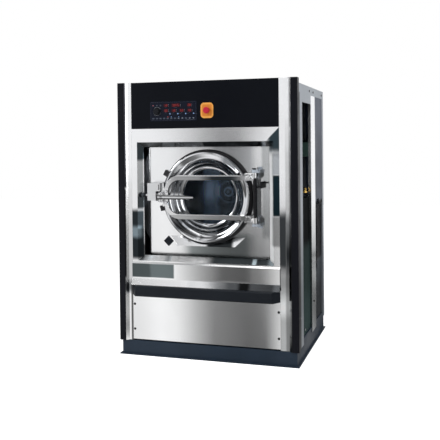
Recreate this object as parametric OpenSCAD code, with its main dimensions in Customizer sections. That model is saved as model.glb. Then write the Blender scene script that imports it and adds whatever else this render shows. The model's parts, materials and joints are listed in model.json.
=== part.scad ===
// Front-loading industrial washer-extractor, bolted to the floor.
// The origin is on the floor under the middle of the cabinet.
// +X is to the right, +Y to the back and +Z up, in millimetres.

/* [Cabinet] */
// Width over the two corner pillars
body_w = 988; // [970:1:1060]
// Depth from the pillar fronts to the rear panel
body_d = 848; // [840:1:920]
// Height of the corner pillars
body_h = 1470; // [1450:1:1560]
// Height of the steel plinth
plinth_h = 77; // [70:1:100]
// How far the plinth walls stand in from the foot flange
plinth_inset = 12; // [8:1:20]
// Wall of the plinth
plinth_wall = 4; // [3:0.5:6]
// Thickness of the foot flange
foot_t = 6; // [4:0.5:10]
// Thickness of the cabinet sheet
sheet_t = 2; // [1.5:0.1:3]
// Drop of the roof below the pillar tops
roof_drop = 23; // [15:1:40]
// How far the side faces stand in from the pillar faces
side_inset = 6; // [3:1:12]

/* [Pillars and trim] */
// Width of a corner pillar
pillar_w = 37; // [30:1:45]
// Depth of a corner pillar
pillar_d = 50; // [40:1:60]
// Wall of a corner pillar
pillar_wall = 2.5; // [2:0.1:4]
// How far the pillars stand in front of the stainless face
pillar_proud = 16; // [10:1:22]
// Width of the bevel beside each pillar
strip_bevel = 15; // [8:1:20]

/* [Front panels] */
// Width of the trim strip left of the front panels
left_strip_w = 37.5; // [30:0.5:45]
// Width of the trim strip right of the front panels
right_strip_w = 61.5; // [52:0.5:70]
// Height of the control fascia
fascia_h = 249; // [220:1:260]
// Gap between the plinth and the service panel
foot_gap = 7; // [3:1:12]
// Visible height of the service panel
service_h = 241; // [220:1:260]
// Height of the bumper bar
bumper_h = 58; // [45:1:70]
// How far the bumper bar stands in front of the stainless face
bumper_proud = 51; // [35:1:65]
// Height of the bevel over the bumper bar
apron_bevel_h = 32; // [20:1:40]
// Height of the flat apron band
apron_h = 90; // [75:1:100]
// How far the apron stands in front of the stainless face
apron_proud = 8; // [4:1:12]

/* [Door recess] */
// Width of the flat rim on each side of the recess
rim_w = 31.5; // [25:0.5:38]
// Height of the recess at its mouth
opening_h = 638; // [610:1:650]
// Height of the mouth above the apron
opening_sill = 6; // [4:1:12]
// Width of the bevel round the recess
recess_bevel = 27; // [20:1:32]
// Depth of the bevel round the recess
recess_d = 29; // [22:1:34]
// How far the door plate's edges stand in from the mouth of the recess
recess_step = 39; // [34:1:45]
// Distance from the pillar fronts to the door plate
plate_setback = 92; // [88:1:100]

/* [Door] */
// Height of the drum axis above the floor
door_z = 855; // [845:1:865]
// Outer radius of the door ring
door_r = 241; // [236:1:246]
// Thickness of the door ring at its rim
ring_t = 24; // [20:1:28]
// Distance from the pillar fronts to the door ring
ring_setback = 48; // [46:1:52]
// Inner radius of the door ring at the glass
glass_r = 149; // [144:1:154]
// Depth of the door ring's dish
dish_d = 80; // [74:1:86]
// Radius of the flat of the glass
window_r = 124; // [116:1:130]
// Thickness of the glass
glass_t = 8; // [6:0.5:10]
// Length of a yoke arm past the drum axis
yoke_right = 234; // [228:1:236]
// Distance from the drum axis to the yoke's left end
yoke_left = 225; // [220:1:230]
// Height over the yoke arms
yoke_h = 234; // [224:1:244]
// Height of a yoke arm
arm_h = 26; // [20:1:30]
// Thickness of the yoke bar
yoke_t = 14; // [10:1:16]
// Outer radius of the yoke's bend
yoke_r = 88; // [70:1:100]
// Height of the pads between yoke and ring
pad_t = 8; // [6:1:10]

/* [Hinge and latch] */
// Distance from the drum axis to the hinge pin
hinge_reach = 270; // [266:1:274]
// Radius of the hinge pin
pin_r = 7.5; // [6:0.5:9]
// Radius of a hinge knuckle
knuckle_r = 15; // [13:0.5:17]
// Running clearance of the hinge pin and the lever bolt
run_gap = 0.05; // [0.03:0.01:0.09]
// Reach of the lever from its bolt to its tip
lever_l = 183; // [160:1:200]
// Height of the lever bar
lever_h = 23; // [18:1:26]
// Thickness of the lever bar
lever_t = 15; // [12:1:18]
// Radius of the lever bolt
lever_bolt_r = 6; // [5:0.5:7]
// Thickness of a latch plate
latch_plate_t = 8; // [6:0.5:10]

/* [Side frame] */
// Width of a front post
front_post_w = 110; // [90:1:130]
// Width of the open bay between front and centre post
front_bay_w = 260; // [240:1:280]
// Width of the centre post
centre_post_w = 130; // [110:1:150]
// Width of a rear post
rear_post_w = 45; // [35:1:60]
// Depth of a corner post
post_d = 40; // [30:1:45]
// Depth of the centre post
centre_post_d = 16; // [12:1:20]
// Height of the top rail
rail_h = 45; // [38:1:55]
// Bottom of the open window in the front bay
window_z = 838; // [800:1:880]
// Height of the header over the window
header_h = 48; // [35:1:60]
// Height of the equipment shelf under the window
shelf_h = 64; // [50:1:70]

/* [Controls] */
// Width of the keypad plate
panel_w = 266; // [255:1:290]
// Height of the keypad plate
panel_h = 106; // [98:1:120]
// Distance from the fascia's middle to the keypad's middle
panel_dx = 164; // [150:1:180]
// Height of the keypad's middle above the fascia's lower edge
panel_up = 92; // [80:1:120]
// Radius of the control knob
knob_r = 21; // [17:1:23]
// Radius of the stop button's head
stop_r = 17; // [14:1:20]
// Travel of the stop button
stop_travel = 6; // [4:0.5:8]

/* [Tub and drum] */
// Outer radius of the tub
tub_r = 410; // [400:1:415]
// Length of the tub
tub_l = 466; // [450:1:476]
// Wall of the tub
tub_wall = 4; // [3:0.5:6]
// Radius of the tub mouth
mouth_r = 218; // [216:1:222]
// Outer radius of the door gasket
gasket_r = 253; // [248:1:258]
// Clearance between the drum and the tub's wall
drum_gap = 31; // [26:1:36]
// Wall of the drum
drum_wall = 3; // [2:0.5:4]
// Radius of a drum perforation
hole_r = 6; // [4:0.5:8]
// Rows of perforations along the drum
hole_rows = 5; // [3:1:6]
// Perforations in each row
hole_columns = 18; // [9:3:24]
// Number of drum lifters
lifter_count = 3; // [3:1:4]
// Height of a drum lifter
lifter_h = 78; // [60:1:90]

/* [Drive] */
// Radius of the drum shaft
shaft_r = 32; // [28:1:36]
// Outer radius of the shaft bearings
bearing_r = 58; // [52:1:62]
// Radius of the drum pulley
drum_pulley_r = 190; // [175:1:200]
// Radius of the motor pulley
motor_pulley_r = 45; // [40:1:52]
// Pitch of the belt grooves
groove_pitch = 17; // [16:0.5:19]
// Radius of the motor body
motor_r = 92; // [84:1:96]
// Sideways distance from the drum axis to the motor axis
motor_dx = 182; // [170:1:195]
// Height of the motor axis
motor_z = 232; // [226:1:245]

/* [Connections] */
// Radius of the drain pipe
drain_r = 38; // [30:1:42]
// Height of the drain pipe
drain_z = 150; // [142:1:165]
// Radius of a water inlet thread
inlet_r = 13.2; // [10:0.1:15]
// Radius of a floor anchor hole
anchor_r = 9; // [7:0.5:11]
// Sideways spacing of the floor anchors
anchor_x = 840; // [800:1:850]
// Front to back spacing of the floor anchors
anchor_y = 720; // [690:1:730]

/* [Hidden] */
$fn = 64;

// Gap between faces of two bodies that move past each other
part_gap = 0.3;

// Planes of the cabinet
front_y = -body_d / 2;
back_y = body_d / 2;
face_y = front_y + pillar_proud;
post_y = front_y + pillar_d;
side_x = body_w / 2 - side_inset;
roof_z = body_h - roof_drop;
roof_under = roof_z - sheet_t;
rear_in = back_y - sheet_t;

// Front panels
pillar_in = body_w / 2 - pillar_w;
front_left = left_strip_w - pillar_in;
front_right = pillar_in - right_strip_w;
front_w = front_right - front_left;
front_x = (front_left + front_right) / 2;
service_z = plinth_h + foot_gap;
bumper_z = service_z + service_h;
bevel_z = bumper_z + bumper_h;
apron_z = bevel_z + apron_bevel_h;
apron_top = apron_z + apron_h;
fascia_z = body_h - fascia_h;
opening_z = apron_top + opening_sill;
opening_w = front_w - 2 * rim_w;
plate_w = opening_w - 2 * recess_step;

// Door and recess
plate_y = front_y + plate_setback;
ring_y = front_y + ring_setback;
ring_back = ring_y + ring_t;
yoke_back = ring_y - pad_t;
yoke_y = yoke_back - yoke_t;
hinge_x = front_x + hinge_reach;
hinge_y = yoke_back;
knuckle_in = yoke_h / 2 - arm_h / 2;
knuckle_out = knuckle_in + 27;
ear_t = 16;
pin_top = door_z + knuckle_out + ear_t + 8;
pin_bottom = door_z - knuckle_out - ear_t - 2;

// Latch
yoke_end = front_x - yoke_left;
yoke_bar_w = 21;
yoke_bolt_x = yoke_end + yoke_bar_w / 2;
lever_gap = 5;
lever_y = yoke_y - lever_gap - lever_t / 2;
lever_x = yoke_bolt_x - 24;
eye_r = 12;
lever_tip_l = 60;
latch_z = lever_h / 2 + 0.6;
tongue_x = lever_x - 26;
lock_w = 72;
lock_h = 94;
lock_gap = 4;
lock_x = tongue_x - lock_gap - 48;
lock_y = face_y - 4;

// Tub and drum
tub_y = plate_y + sheet_t;
tub_back = tub_y + tub_l;
spider_t = 38;
tub_end_t = 8;
end_gap = 18;
drum_y = tub_y + tub_wall + 14;
drum_r = tub_r - tub_wall - drum_gap;
drum_back = tub_back - tub_end_t - end_gap - spider_t;
drum_l = drum_back - drum_y;
drum_mouth_r = mouth_r + 7;

// Drive
housing_l = 152;
housing_end = tub_back + housing_l;
bearing_w = 36;
pulley_w = 3 * groove_pitch + 8;
pulley_y = housing_end + 14;
groove_d = 13;
belt_h = 10;
belt_w = 11;
shaft_end = pulley_y + pulley_w + 6;
motor_x = front_x + motor_dx;
motor_l = 230;
motor_y = pulley_y - 34 - motor_l;
motor_shaft_r = 19;
bracket_t = 8;
bracket_top = motor_z - motor_r - 8;

// Connections
inlet_z = roof_z - 105;
inlet_spacing = 90;
inlet_x = 255;
inlet_l = 24;
gland_x = -330;
gland_r = 9;
sump_y = -80;

// Side frame
post_t = 2.5;
post_lip = 12;
rail_z = roof_under - rail_h;
front_post_end = post_y + front_post_w;
centre_post_y = front_post_end + front_bay_w;
centre_post_end = centre_post_y + centre_post_w;
rear_post_y = rear_in - rear_post_w;
sill_h = 28;
sill_z = plinth_h + sill_h;
shelf_z = window_z - shelf_h;
panel_recess = 12;
anchor_pad = 55;
access_r = 24;

// Controls
panel_t = 2;
key_t = 1.2;
panel_face = face_y - panel_t;
panel_x = front_x - panel_dx;
panel_z = fascia_z + panel_up;
knob_x = panel_x - panel_w / 2 + 41;
stem_r = 4;
stop_x = front_x + 24;
stop_stem_r = 11;

// Recess and tub supports
drip_z = door_z - 262;
saddle_places = [tub_y + 40, motor_y - 43];
drain_collar_r = drain_r + 5;
inlet_collar_r = inlet_r + 6;
neck_r = mouth_r - 14;
neck_d = 16;
bolt_head_h = 7;
dish_count = 3;
drain_out = 40;
gland_l = 24;
inlet_places = [inlet_x - inlet_spacing / 2, inlet_x + inlet_spacing / 2];

// Places a flat outline in the X-Z plane and gives it depth from y0 to the back
module plate_xz(y0, t) {
    translate([0, y0 + t, 0])
        rotate([90, 0, 0])
            linear_extrude(t) children();
}

// Places an outline drawn in Y and Z and runs it to the right from x0
module extrude_x(x0, l) {
    translate([x0, 0, 0])
        rotate([90, 0, 90])
            linear_extrude(l) children();
}

// Turns a profile of radius and depth round an axis that runs to the back
module turned(x, y, z) {
    translate([x, y, z])
        rotate([-90, 0, 0])
            rotate_extrude($fn = 96) children();
}

// A cylinder from y to the back
module rod_y(x, y, z, r, l) {
    translate([x, y, z])
        rotate([-90, 0, 0])
            cylinder(r = r, h = l);
}

// A cylinder from x to the right
module rod_x(x, y, z, r, l) {
    translate([x, y, z])
        rotate([0, 90, 0])
            cylinder(r = r, h = l);
}

// A box between two corners
module box(low, high) {
    translate(low) cube(high - low);
}

// A rectangle with round corners, centred on the origin
module rounded(w, h, r) {
    square([w - 2 * r, h], center = true);
    square([w, h - 2 * r], center = true);
    for (x = [-1, 1], y = [-1, 1]) {
        translate([x * (w / 2 - r), y * (h / 2 - r)]) circle(r = r);
    }
}

// A channel section that opens towards +Y of its own plane
module channel(w, d, t, lip) {
    difference() {
        translate([-w / 2, 0]) square([w, d]);
        translate([-w / 2 + t, t]) square([w - 2 * t, d - 2 * t]);
        translate([-w / 2 + lip, t]) square([w - 2 * lip, d]);
    }
}

// Hex head with a round washer face, pointing along -Y
module hex_head_y(x, y, z, r, h) {
    translate([x, y, z])
        rotate([90, 0, 0]) {
            cylinder(r = r * 1.25, h = h * 0.2);
            cylinder(r = r, h = h, $fn = 6);
        }
}

// Base

module plinth() {
    hw = body_w / 2;
    wall_x = hw - plinth_inset;
    wall_front = front_y + plinth_inset;
    color("slategray") difference() {
        union() {
            box([-hw, front_y, 0], [hw, back_y, foot_t]);
            box([-wall_x, wall_front, 0], [wall_x, back_y, plinth_h]);
            side_sill(front_post_end, centre_post_y);
            side_sill(centre_post_end, rear_post_y);
        }
        box([-wall_x + plinth_wall, wall_front + plinth_wall, foot_t],
            [wall_x - plinth_wall, back_y - plinth_wall, plinth_h - plinth_wall]);
        difference() {
            box([-wall_x + plinth_wall, wall_front + plinth_wall, -1],
                [wall_x - plinth_wall, back_y - plinth_wall, foot_t + 1]);
            anchor_places() translate([-anchor_pad, -anchor_pad, -1]) cube([200, 200, foot_t + 2]);
        }
        anchor_places() translate([0, 0, -1]) cylinder(r = anchor_r, h = foot_t + 2);
        anchor_places() translate([0, 0, foot_t]) cylinder(r = access_r, h = plinth_h);
    }
}

// Raised sill of the base frame between two posts on the right side
module side_sill(y0, y1) {
    box([side_x - post_d + 4, y0, plinth_h], [side_x - 4, y1, plinth_h + sill_h]);
}

// Repeats a corner shape at the four floor anchors, turned so that +X +Y points out
module anchor_places() {
    for (x = [0, 1], y = [0, 1]) {
        mirror([x, 0, 0]) mirror([0, y, 0]) translate([anchor_x / 2, anchor_y / 2, 0]) children();
    }
}

// Side frames

// Corner post of the given width on the right, from the plinth to z1
module right_post(y0, w, d, z1) {
    translate([side_x, y0 + w / 2, plinth_h])
        rotate(90)
            linear_extrude(z1 - plinth_h) channel(w, d, post_t, post_lip);
}

module left_post(y0, w, d) {
    translate([-side_x + sheet_t, y0 + w / 2, plinth_h])
        rotate(-90)
            linear_extrude(roof_under - plinth_h) channel(w, d, post_t, post_lip);
}

module front_posts() {
    color("silver") {
        right_post(post_y, front_post_w, post_d, rail_z);
        left_post(post_y, front_post_w, post_d - sheet_t);
    }
}

module rear_posts() {
    color("silver") {
        right_post(rear_post_y, rear_post_w, post_d, rail_z);
        left_post(rear_post_y, rear_post_w, post_d - sheet_t);
    }
}

module right_centre_post() {
    color("gainsboro") right_post(centre_post_y, centre_post_w, centre_post_d, rail_z);
}

module right_top_rail() {
    color("silver") {
        plate_xz(post_y, rear_in - post_y)
            translate([side_x, rail_z + rail_h / 2])
                rotate(90) channel(rail_h, post_d, post_t, post_lip);
        box([side_x - post_t, front_post_end, rail_z - header_h],
            [side_x, centre_post_y, rail_z]);
    }
}

// Slot with round ends, standing upright between z0 and z1
module upright_slot(y, z0, z1, w) {
    translate([y - w / 2, z0 + w / 2]) square([w, z1 - z0 - w]);
    for (z = [z0 + w / 2, z1 - w / 2]) {
        translate([y, z]) circle(d = w);
    }
}

module right_front_panel() {
    slot_w = 14;
    slot_y = front_post_end + 30;
    color("darkslategray") extrude_x(side_x - panel_recess - sheet_t, sheet_t)
        difference() {
            translate([front_post_end, sill_z])
                square([front_bay_w, shelf_z - sill_z]);
            upright_slot(slot_y, sill_z + 280, shelf_z - 16, slot_w);
        }
}

module right_rear_panels() {
    bay_w = rear_post_y - centre_post_end;
    split_z = shelf_z - 5;
    slot_w = 44;
    slot_y = centre_post_end + 70;
    port_w = 78;
    port_h = 32;
    color("lightslategray") extrude_x(side_x - 2 * sheet_t, sheet_t)
        difference() {
            translate([centre_post_end, split_z + 4])
                square([bay_w, rail_z - split_z - 4]);
            translate([slot_y + 26, split_z + 8 + port_h / 2])
                rounded(port_w, port_h, 6);
        }
    color("dimgray") extrude_x(side_x - panel_recess, sheet_t)
        difference() {
            translate([centre_post_end, sill_z]) square([bay_w, split_z - sill_z]);
            upright_slot(slot_y, sill_z + 286, split_z - 35, slot_w);
        }
}

module equipment_shelf() {
    fitting_r = 9;
    fitting_x = side_x - post_d + 12;
    color("darkslategray") difference() {
        box([side_x - post_d + 2, front_post_end, shelf_z],
            [side_x - panel_recess, centre_post_y, shelf_z + shelf_h]);
        box([side_x - post_d, front_post_end - 1, shelf_z + sheet_t],
            [side_x - panel_recess - sheet_t, centre_post_y + 1, shelf_z + shelf_h - sheet_t]);
    }
    color("wheat") translate([fitting_x, front_post_end + 60, shelf_z + shelf_h])
        cylinder(r = fitting_r, h = 24);
}

module left_side_panel() {
    bead_r = 9;
    bead_proud = 3;
    color("silver") {
        box([-side_x, post_y, plinth_h], [-side_x + sheet_t, rear_in, roof_under]);
        for (y = [-1, 1]) {
            intersection() {
                box([-side_x - bead_proud, post_y, plinth_h + 60],
                    [-side_x, rear_in, roof_under - 60]);
                translate([-side_x - bead_proud + bead_r, y * 130, plinth_h + 60])
                    cylinder(r = bead_r, h = roof_under - plinth_h - 120);
            }
        }
    }
}

module roof_panel() {
    rib_w = 60;
    rib_h = 4;
    color("silver") {
        box([-side_x, post_y, roof_under], [side_x, back_y, roof_z]);
        for (x = [-1, 0, 1]) {
            plate_xz(post_y + 60, back_y - post_y - 120)
                translate([x * side_x * 0.55, roof_z])
                    polygon([[-rib_w / 2, 0], [rib_w / 2, 0],
                        [rib_w / 2 - 2 * rib_h, rib_h], [-rib_w / 2 + 2 * rib_h, rib_h]]);
        }
    }
}

module rear_panel() {
    louvre_w = 150;
    louvre_h = 9;
    hole_gap = part_gap;
    color("silver") difference() {
        union() {
            box([-side_x, rear_in, plinth_h], [side_x, back_y, roof_under]);
            rod_y(gland_x, back_y, inlet_z, gland_r + 5, gland_l - sheet_t);
            translate([gland_x, back_y + 9, inlet_z])
                rotate([90, 0, 0]) cylinder(r = gland_r + 9, h = 9, $fn = 6);
        }
        for (x = [-1, 1], row = [0 : 8]) {
            translate([x * 230 + front_x, rear_in - 1, door_z - 88 + row * 22])
                rotate([-90, 0, 0])
                    linear_extrude(sheet_t + 2) rounded(louvre_w, louvre_h, louvre_h / 2 - 0.1);
        }
        for (x = inlet_places) {
            rod_y(x, rear_in - 1, inlet_z, inlet_collar_r + hole_gap, sheet_t + 2);
        }
        rod_y(front_x, rear_in - 1, drain_z, drain_collar_r + hole_gap, sheet_t + 2);
        rod_y(gland_x, rear_in - 1, inlet_z, gland_r, gland_l + 2);
    }
}

// Fasteners

module panel_screws() {
    head_r = 5.5;
    head_h = 3.5;
    edge = 9;
    color("gainsboro") {
        for (x = [front_left + edge, front_right - edge], z = [55, 190]) {
            hex_head_y(x, face_y, service_z + z, head_r, head_h);
        }
        for (y = [-0.1, 0.18, 0.86]) {
            side_screw(side_x, y * back_y, rail_z + rail_h / 2, head_r, head_h);
        }
        side_screw(side_x, front_post_end - 80, plinth_h + 157, head_r, head_h);
        side_screw(side_x - panel_recess, front_post_end + 100, sill_z + 26, head_r, head_h);
        side_screw(side_x, centre_post_y + centre_post_w / 2, plinth_h + 162, head_r, head_h);
        for (z = [0.14, 0.5, 0.86]) {
            rear_bolt(side_x - rear_post_w / 2, z * body_h);
        }
    }
}

module side_screw(x, y, z, r, h) {
    translate([x, y, z])
        rotate([0, 90, 0]) {
            cylinder(r = r * 1.25, h = h * 0.2);
            cylinder(r = r, h = h, $fn = 6);
        }
}

module rear_bolt(x, z) {
    bolt_r = 8;
    translate([x, back_y, z])
        rotate([-90, 0, 0]) {
            cylinder(r = bolt_r * 1.3, h = 2);
            cylinder(r = bolt_r, h = 10, $fn = 6);
        }
}

// Front

// Closed box section of a corner pillar with its cap, drawn for the right side
module pillar() {
    corner_r = 4;
    mid = [body_w / 2 - pillar_w / 2, front_y + pillar_d / 2];
    difference() {
        translate([mid.x, mid.y, plinth_h])
            linear_extrude(body_h - plinth_h) rounded(pillar_w, pillar_d, corner_r);
        translate([mid.x, mid.y, plinth_h - 1])
            linear_extrude(body_h - plinth_h - pillar_wall)
                square([pillar_w - 2 * pillar_wall, pillar_d - 2 * pillar_wall], center = true);
    }
}

module left_pillar() {
    color("black") mirror([1, 0, 0]) pillar();
}

module right_pillar() {
    color("black") pillar();
}

// Folded trim strip between the front panels' edge and a pillar's inner face
module trim_strip(edge_x) {
    bend_x = pillar_in - strip_bevel;
    proud_y = front_y + 2;
    t = sheet_t;
    translate([0, 0, plinth_h])
        linear_extrude(body_h - plinth_h)
            polygon([[edge_x, face_y], [bend_x, face_y], [pillar_in, proud_y],
                [pillar_in, proud_y + 2 * t], [bend_x, face_y + t],
                [edge_x + t, face_y + t], [edge_x + t, post_y], [edge_x, post_y]]);
}

module left_trim_strip() {
    color("gainsboro") mirror([1, 0, 0]) trim_strip(-front_left);
}

module right_trim_strip() {
    color("gainsboro") trim_strip(front_right);
}

// Sheet pan that is open at the back, between two heights of the front
module front_pan(z0, z1) {
    difference() {
        box([front_left, face_y, z0], [front_right, post_y, z1]);
        box([front_left + sheet_t, face_y + sheet_t, z0 + sheet_t],
            [front_right - sheet_t, post_y + 1, z1 - sheet_t]);
    }
}

module fascia() {
    color("black") difference() {
        front_pan(fascia_z, body_h);
        rod_y(knob_x, face_y - 1, panel_z, stem_r + run_gap, sheet_t + 2);
        rod_y(stop_x, face_y - 1, panel_z, stop_stem_r + run_gap, sheet_t + 2);
    }
}

module control_panel() {
    color("midnightblue") difference() {
        plate_xz(panel_face, panel_t)
            translate([panel_x, panel_z]) rounded(panel_w, panel_h, 6);
        rod_y(knob_x, panel_face - 1, panel_z, stem_r + run_gap, panel_t + 2);
    }
}

// A raised key on the keypad, given from the keypad's middle
module key(dx, dz, w, h) {
    plate_xz(panel_face - key_t, key_t)
        translate([panel_x + dx, panel_z + dz]) rounded(w, h, 2.5);
}

module control_keys() {
    key_pitch = (panel_w - 39) / 11;
    status_pitch = 2.15 * key_pitch;
    color("gray") {
        for (i = [0 : 11]) {
            key((i - 5.5) * key_pitch, -panel_h / 2 + 15, 13, 8);
        }
        for (i = [0 : 3]) {
            key(-18 + i * status_pitch, -14, 10, 8);
        }
        for (i = [0 : 2]) {
            key((i - 5.5) * key_pitch, panel_h / 2 - 22, 9, 8);
        }
    }
}

module display_windows() {
    window_pitch = 44.5;
    color("darkred") {
        for (i = [0 : 3]) {
            key(-41 + i * window_pitch, 3, 24, 17);
        }
        key(-41, 31, 24, 16);
        key(15, 31, 47, 18);
        key(91, 31, 24, 17);
    }
}

module control_knob() {
    skirt_h = 4;
    grip_h = 14;
    grip_r = knob_r * 0.72;
    flutes = 12;
    back = panel_face - part_gap;
    color("dimgray") difference() {
        union() {
            rod_y(knob_x, back - skirt_h, panel_z, knob_r, skirt_h);
            rod_y(knob_x, back - grip_h, panel_z, grip_r, grip_h);
            rod_y(knob_x, back - 1, panel_z, stem_r, 20);
        }
        for (i = [0 : flutes - 1]) {
            translate([knob_x, 0, panel_z])
                rotate([0, i * 360 / flutes, 0])
                    rod_y(0, back - grip_h - 1, grip_r + 1.2, 2.6, grip_h - skirt_h + 1);
        }
        box([knob_x - 1, back - grip_h - 1, panel_z + 2],
            [knob_x + 1, back - grip_h + 1, panel_z + grip_r + 1]);
    }
}

module stop_plate() {
    plate_h = 81;
    color("orange") difference() {
        plate_xz(panel_face, panel_t)
            translate([stop_x, panel_z]) rounded(plate_h * 0.86, plate_h, 20);
        rod_y(stop_x, panel_face - 1, panel_z, stop_stem_r + run_gap, panel_t + 2);
    }
}

module stop_button() {
    head_back = panel_face - stop_travel - 1;
    head_h = 12;
    color("crimson") {
        turned(stop_x, head_back, panel_z) {
            difference() {
                translate([0, -head_h]) square([stop_r, head_h]);
                translate([stop_r, -head_h]) circle(r = 4);
            }
        }
        rod_y(stop_x, head_back - 1, panel_z, stop_stem_r, stop_travel + 22);
    }
}

// Rectangular funnel that narrows by s on every side over its depth d
module frustum(w, h, s, y0, d) {
    mid_z = opening_z + opening_h / 2;
    intersection() {
        translate([front_x, y0, mid_z - h / 2])
            linear_extrude(h)
                polygon([[-w / 2, 0], [w / 2, 0], [w / 2 - s, d], [-w / 2 + s, d]]);
        extrude_x(front_x - w / 2, w)
            translate([y0, mid_z])
                polygon([[0, -h / 2], [0, h / 2], [d, h / 2 - s], [d, -h / 2 + s]]);
    }
}

module surround_frame() {
    slope = recess_bevel / recess_d;
    wall = 1.5 * sheet_t;
    color("gainsboro") difference() {
        union() {
            box([front_left, face_y, apron_top], [front_right, face_y + sheet_t, fascia_z]);
            frustum(opening_w + 2 * wall, opening_h + 2 * wall, recess_bevel, face_y, recess_d);
        }
        frustum(opening_w + 2 * slope, opening_h + 2 * slope,
            slope * (recess_d + 2), face_y - 1, recess_d + 2);
    }
}

module front_plate() {
    top = opening_z + opening_h - 14;
    color("gainsboro") plate_xz(plate_y, sheet_t) difference() {
        translate([front_x - plate_w / 2, apron_top]) square([plate_w, top - apron_top]);
        translate([front_x, door_z]) circle(r = mouth_r, $fn = 96);
    }
}

module apron() {
    lip_y = face_y - apron_proud - 18;
    flat_y = face_y - apron_proud;
    t = sheet_t;
    color("gainsboro") extrude_x(front_left, front_w)
        polygon([[post_y, apron_top], [face_y, apron_top], [flat_y, apron_top - apron_proud],
            [flat_y, apron_z], [lip_y, bevel_z], [post_y, bevel_z], [post_y, bevel_z + t],
            [lip_y + 2 * t, bevel_z + t], [flat_y + t, apron_z], [flat_y + t, apron_top - apron_proud - 1],
            [face_y + 1, apron_top - t], [post_y, apron_top - t]]);
}

module bumper_bar() {
    end_chamfer = 34;
    edge = 6;
    bumper_y = face_y - bumper_proud;
    color("black") intersection() {
        translate([0, 0, bumper_z])
            linear_extrude(bumper_h)
                polygon([[front_left, face_y], [front_left + end_chamfer, bumper_y],
                    [front_right - end_chamfer, bumper_y], [front_right, face_y]]);
        extrude_x(front_left, front_w)
            polygon([[face_y, bumper_z], [bumper_y + edge, bumper_z], [bumper_y, bumper_z + edge],
                [bumper_y, bevel_z - edge], [bumper_y + edge, bevel_z], [face_y, bevel_z]]);
    }
}

module service_panel() {
    color("gainsboro") front_pan(service_z, bevel_z);
}

// Outline of the drip hood seen from the front, with its edges drawn in by the inset
module drip_outline(low_w, rise, inset) {
    translate([front_x - 5, drip_z])
        polygon([[inset - low_w / 2, -sheet_t - 1], [low_w / 2 - inset, -sheet_t - 1],
            [low_w / 2 - inset, 0], [low_w / 2 + rise - inset, rise],
            [inset - low_w / 2 - rise, rise], [inset - low_w / 2, 0]]);
}

// Hood of folded sheet under the door, open below, that throws drips off the plate
module drip_lip() {
    low_w = 323;
    reach = 30;
    rise = 47;
    front = plate_y - reach;
    slant = drip_z + rise;
    low = drip_z - sheet_t;
    color("gainsboro") difference() {
        intersection() {
            plate_xz(front, reach) drip_outline(low_w, rise, 0);
            extrude_x(front_x - low_w, 2 * low_w)
                polygon([[plate_y, low], [front, low], [front, drip_z], [plate_y - 1, slant],
                    [plate_y, slant]]);
        }
        intersection() {
            plate_xz(front, reach + 1) drip_outline(low_w, rise, sheet_t);
            extrude_x(front_x - low_w, 2 * low_w)
                polygon([[plate_y + 1, low - 1], [front + 0.5, low - 1],
                    [plate_y + 1, slant - 2.4]]);
        }
        rod_y(front_x, front - 1, door_z, gasket_r + 1.5, reach + 3);
    }
}

module marker_plate() {
    side = 41;
    color("black") plate_xz(plate_y - sheet_t, sheet_t)
        translate([front_x - 227, door_z - 244]) rotate(45) square(side, center = true);
}

// Tub

module outer_tub() {
    hoop_w = 12;
    hoop_h = 5;
    color("silver") difference() {
        union() {
            rod_y(front_x, tub_y, door_z, tub_r, tub_l, $fn = 128);
            for (y = [tub_y + 12, tub_y + tub_l * 0.42, tub_back - 60]) {
                rod_y(front_x, y, door_z, tub_r + hoop_h, hoop_w, $fn = 128);
            }
        }
        rod_y(front_x, tub_y + tub_wall, door_z, tub_r - tub_wall, tub_l - tub_wall - tub_end_t, $fn = 128);
        rod_y(front_x, tub_y - 1, door_z, mouth_r, tub_wall + 2, $fn = 96);
        rod_y(front_x, tub_back - tub_end_t - 1, door_z, shaft_r + 14, tub_end_t + 2);
        translate([front_x, sump_y, door_z - tub_r - 10]) cylinder(r = drain_r - 3, h = 30);
    }
}

module door_gasket() {
    d = plate_y - ring_back - part_gap;
    seat_r = mouth_r - part_gap;
    bore_r = mouth_r - 11;
    neck_l = 14;
    lug_r = gasket_r + 24;
    color("black") {
        turned(front_x, plate_y, door_z)
            polygon([[bore_r, -d + 4], [bore_r + 4, -d], [bore_r + 12, -d], [bore_r + 16, -d + 6],
                [bore_r + 22, -d + 6], [bore_r + 26, -d], [gasket_r - 5, -d], [gasket_r, -d + 5],
                [gasket_r, 0], [seat_r, 0], [seat_r, neck_l], [bore_r, neck_l]]);
        for (a = [152, 194]) {
            translate([front_x, 0, door_z])
                rotate([0, -a, 0])
                    box([gasket_r - 5, plate_y - d + 6, -15], [lug_r, plate_y, 15]);
        }
    }
}

// Stand of two plates that carry the tub, and the gusset behind the centre post
module tub_brackets() {
    saddle_t = 12;
    gusset_t = 6;
    gusset_x = side_x - post_d - 22;
    color("darkgreen") {
        for (y = saddle_places) {
            plate_xz(y, saddle_t) saddle_outline();
        }
        extrude_x(gusset_x, gusset_t)
            translate([centre_post_y, door_z + 195])
                polygon([[0, 0], [40, 0], [240, 74], [240, 103], [0, 103]]);
        box([gusset_x + gusset_t, centre_post_y, door_z + 205],
            [side_x - centre_post_d, centre_post_y + 8, door_z + 285]);
    }
}

// Outline of a tub saddle: a plate with a round seat on top and an arch below
module saddle_outline() {
    half = 290;
    arch = 100;
    arch_h = 250;
    corner = 45;
    difference() {
        translate([front_x - half, plinth_h]) square([2 * half, door_z - 215 - plinth_h]);
        translate([front_x, door_z]) circle(r = tub_r, $fn = 128);
        translate([front_x, plinth_h])
            polygon([[-arch, -1], [arch, -1], [arch, arch_h - corner], [arch - corner, arch_h],
                [corner - arch, arch_h], [-arch, arch_h - corner]]);
    }
}

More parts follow.
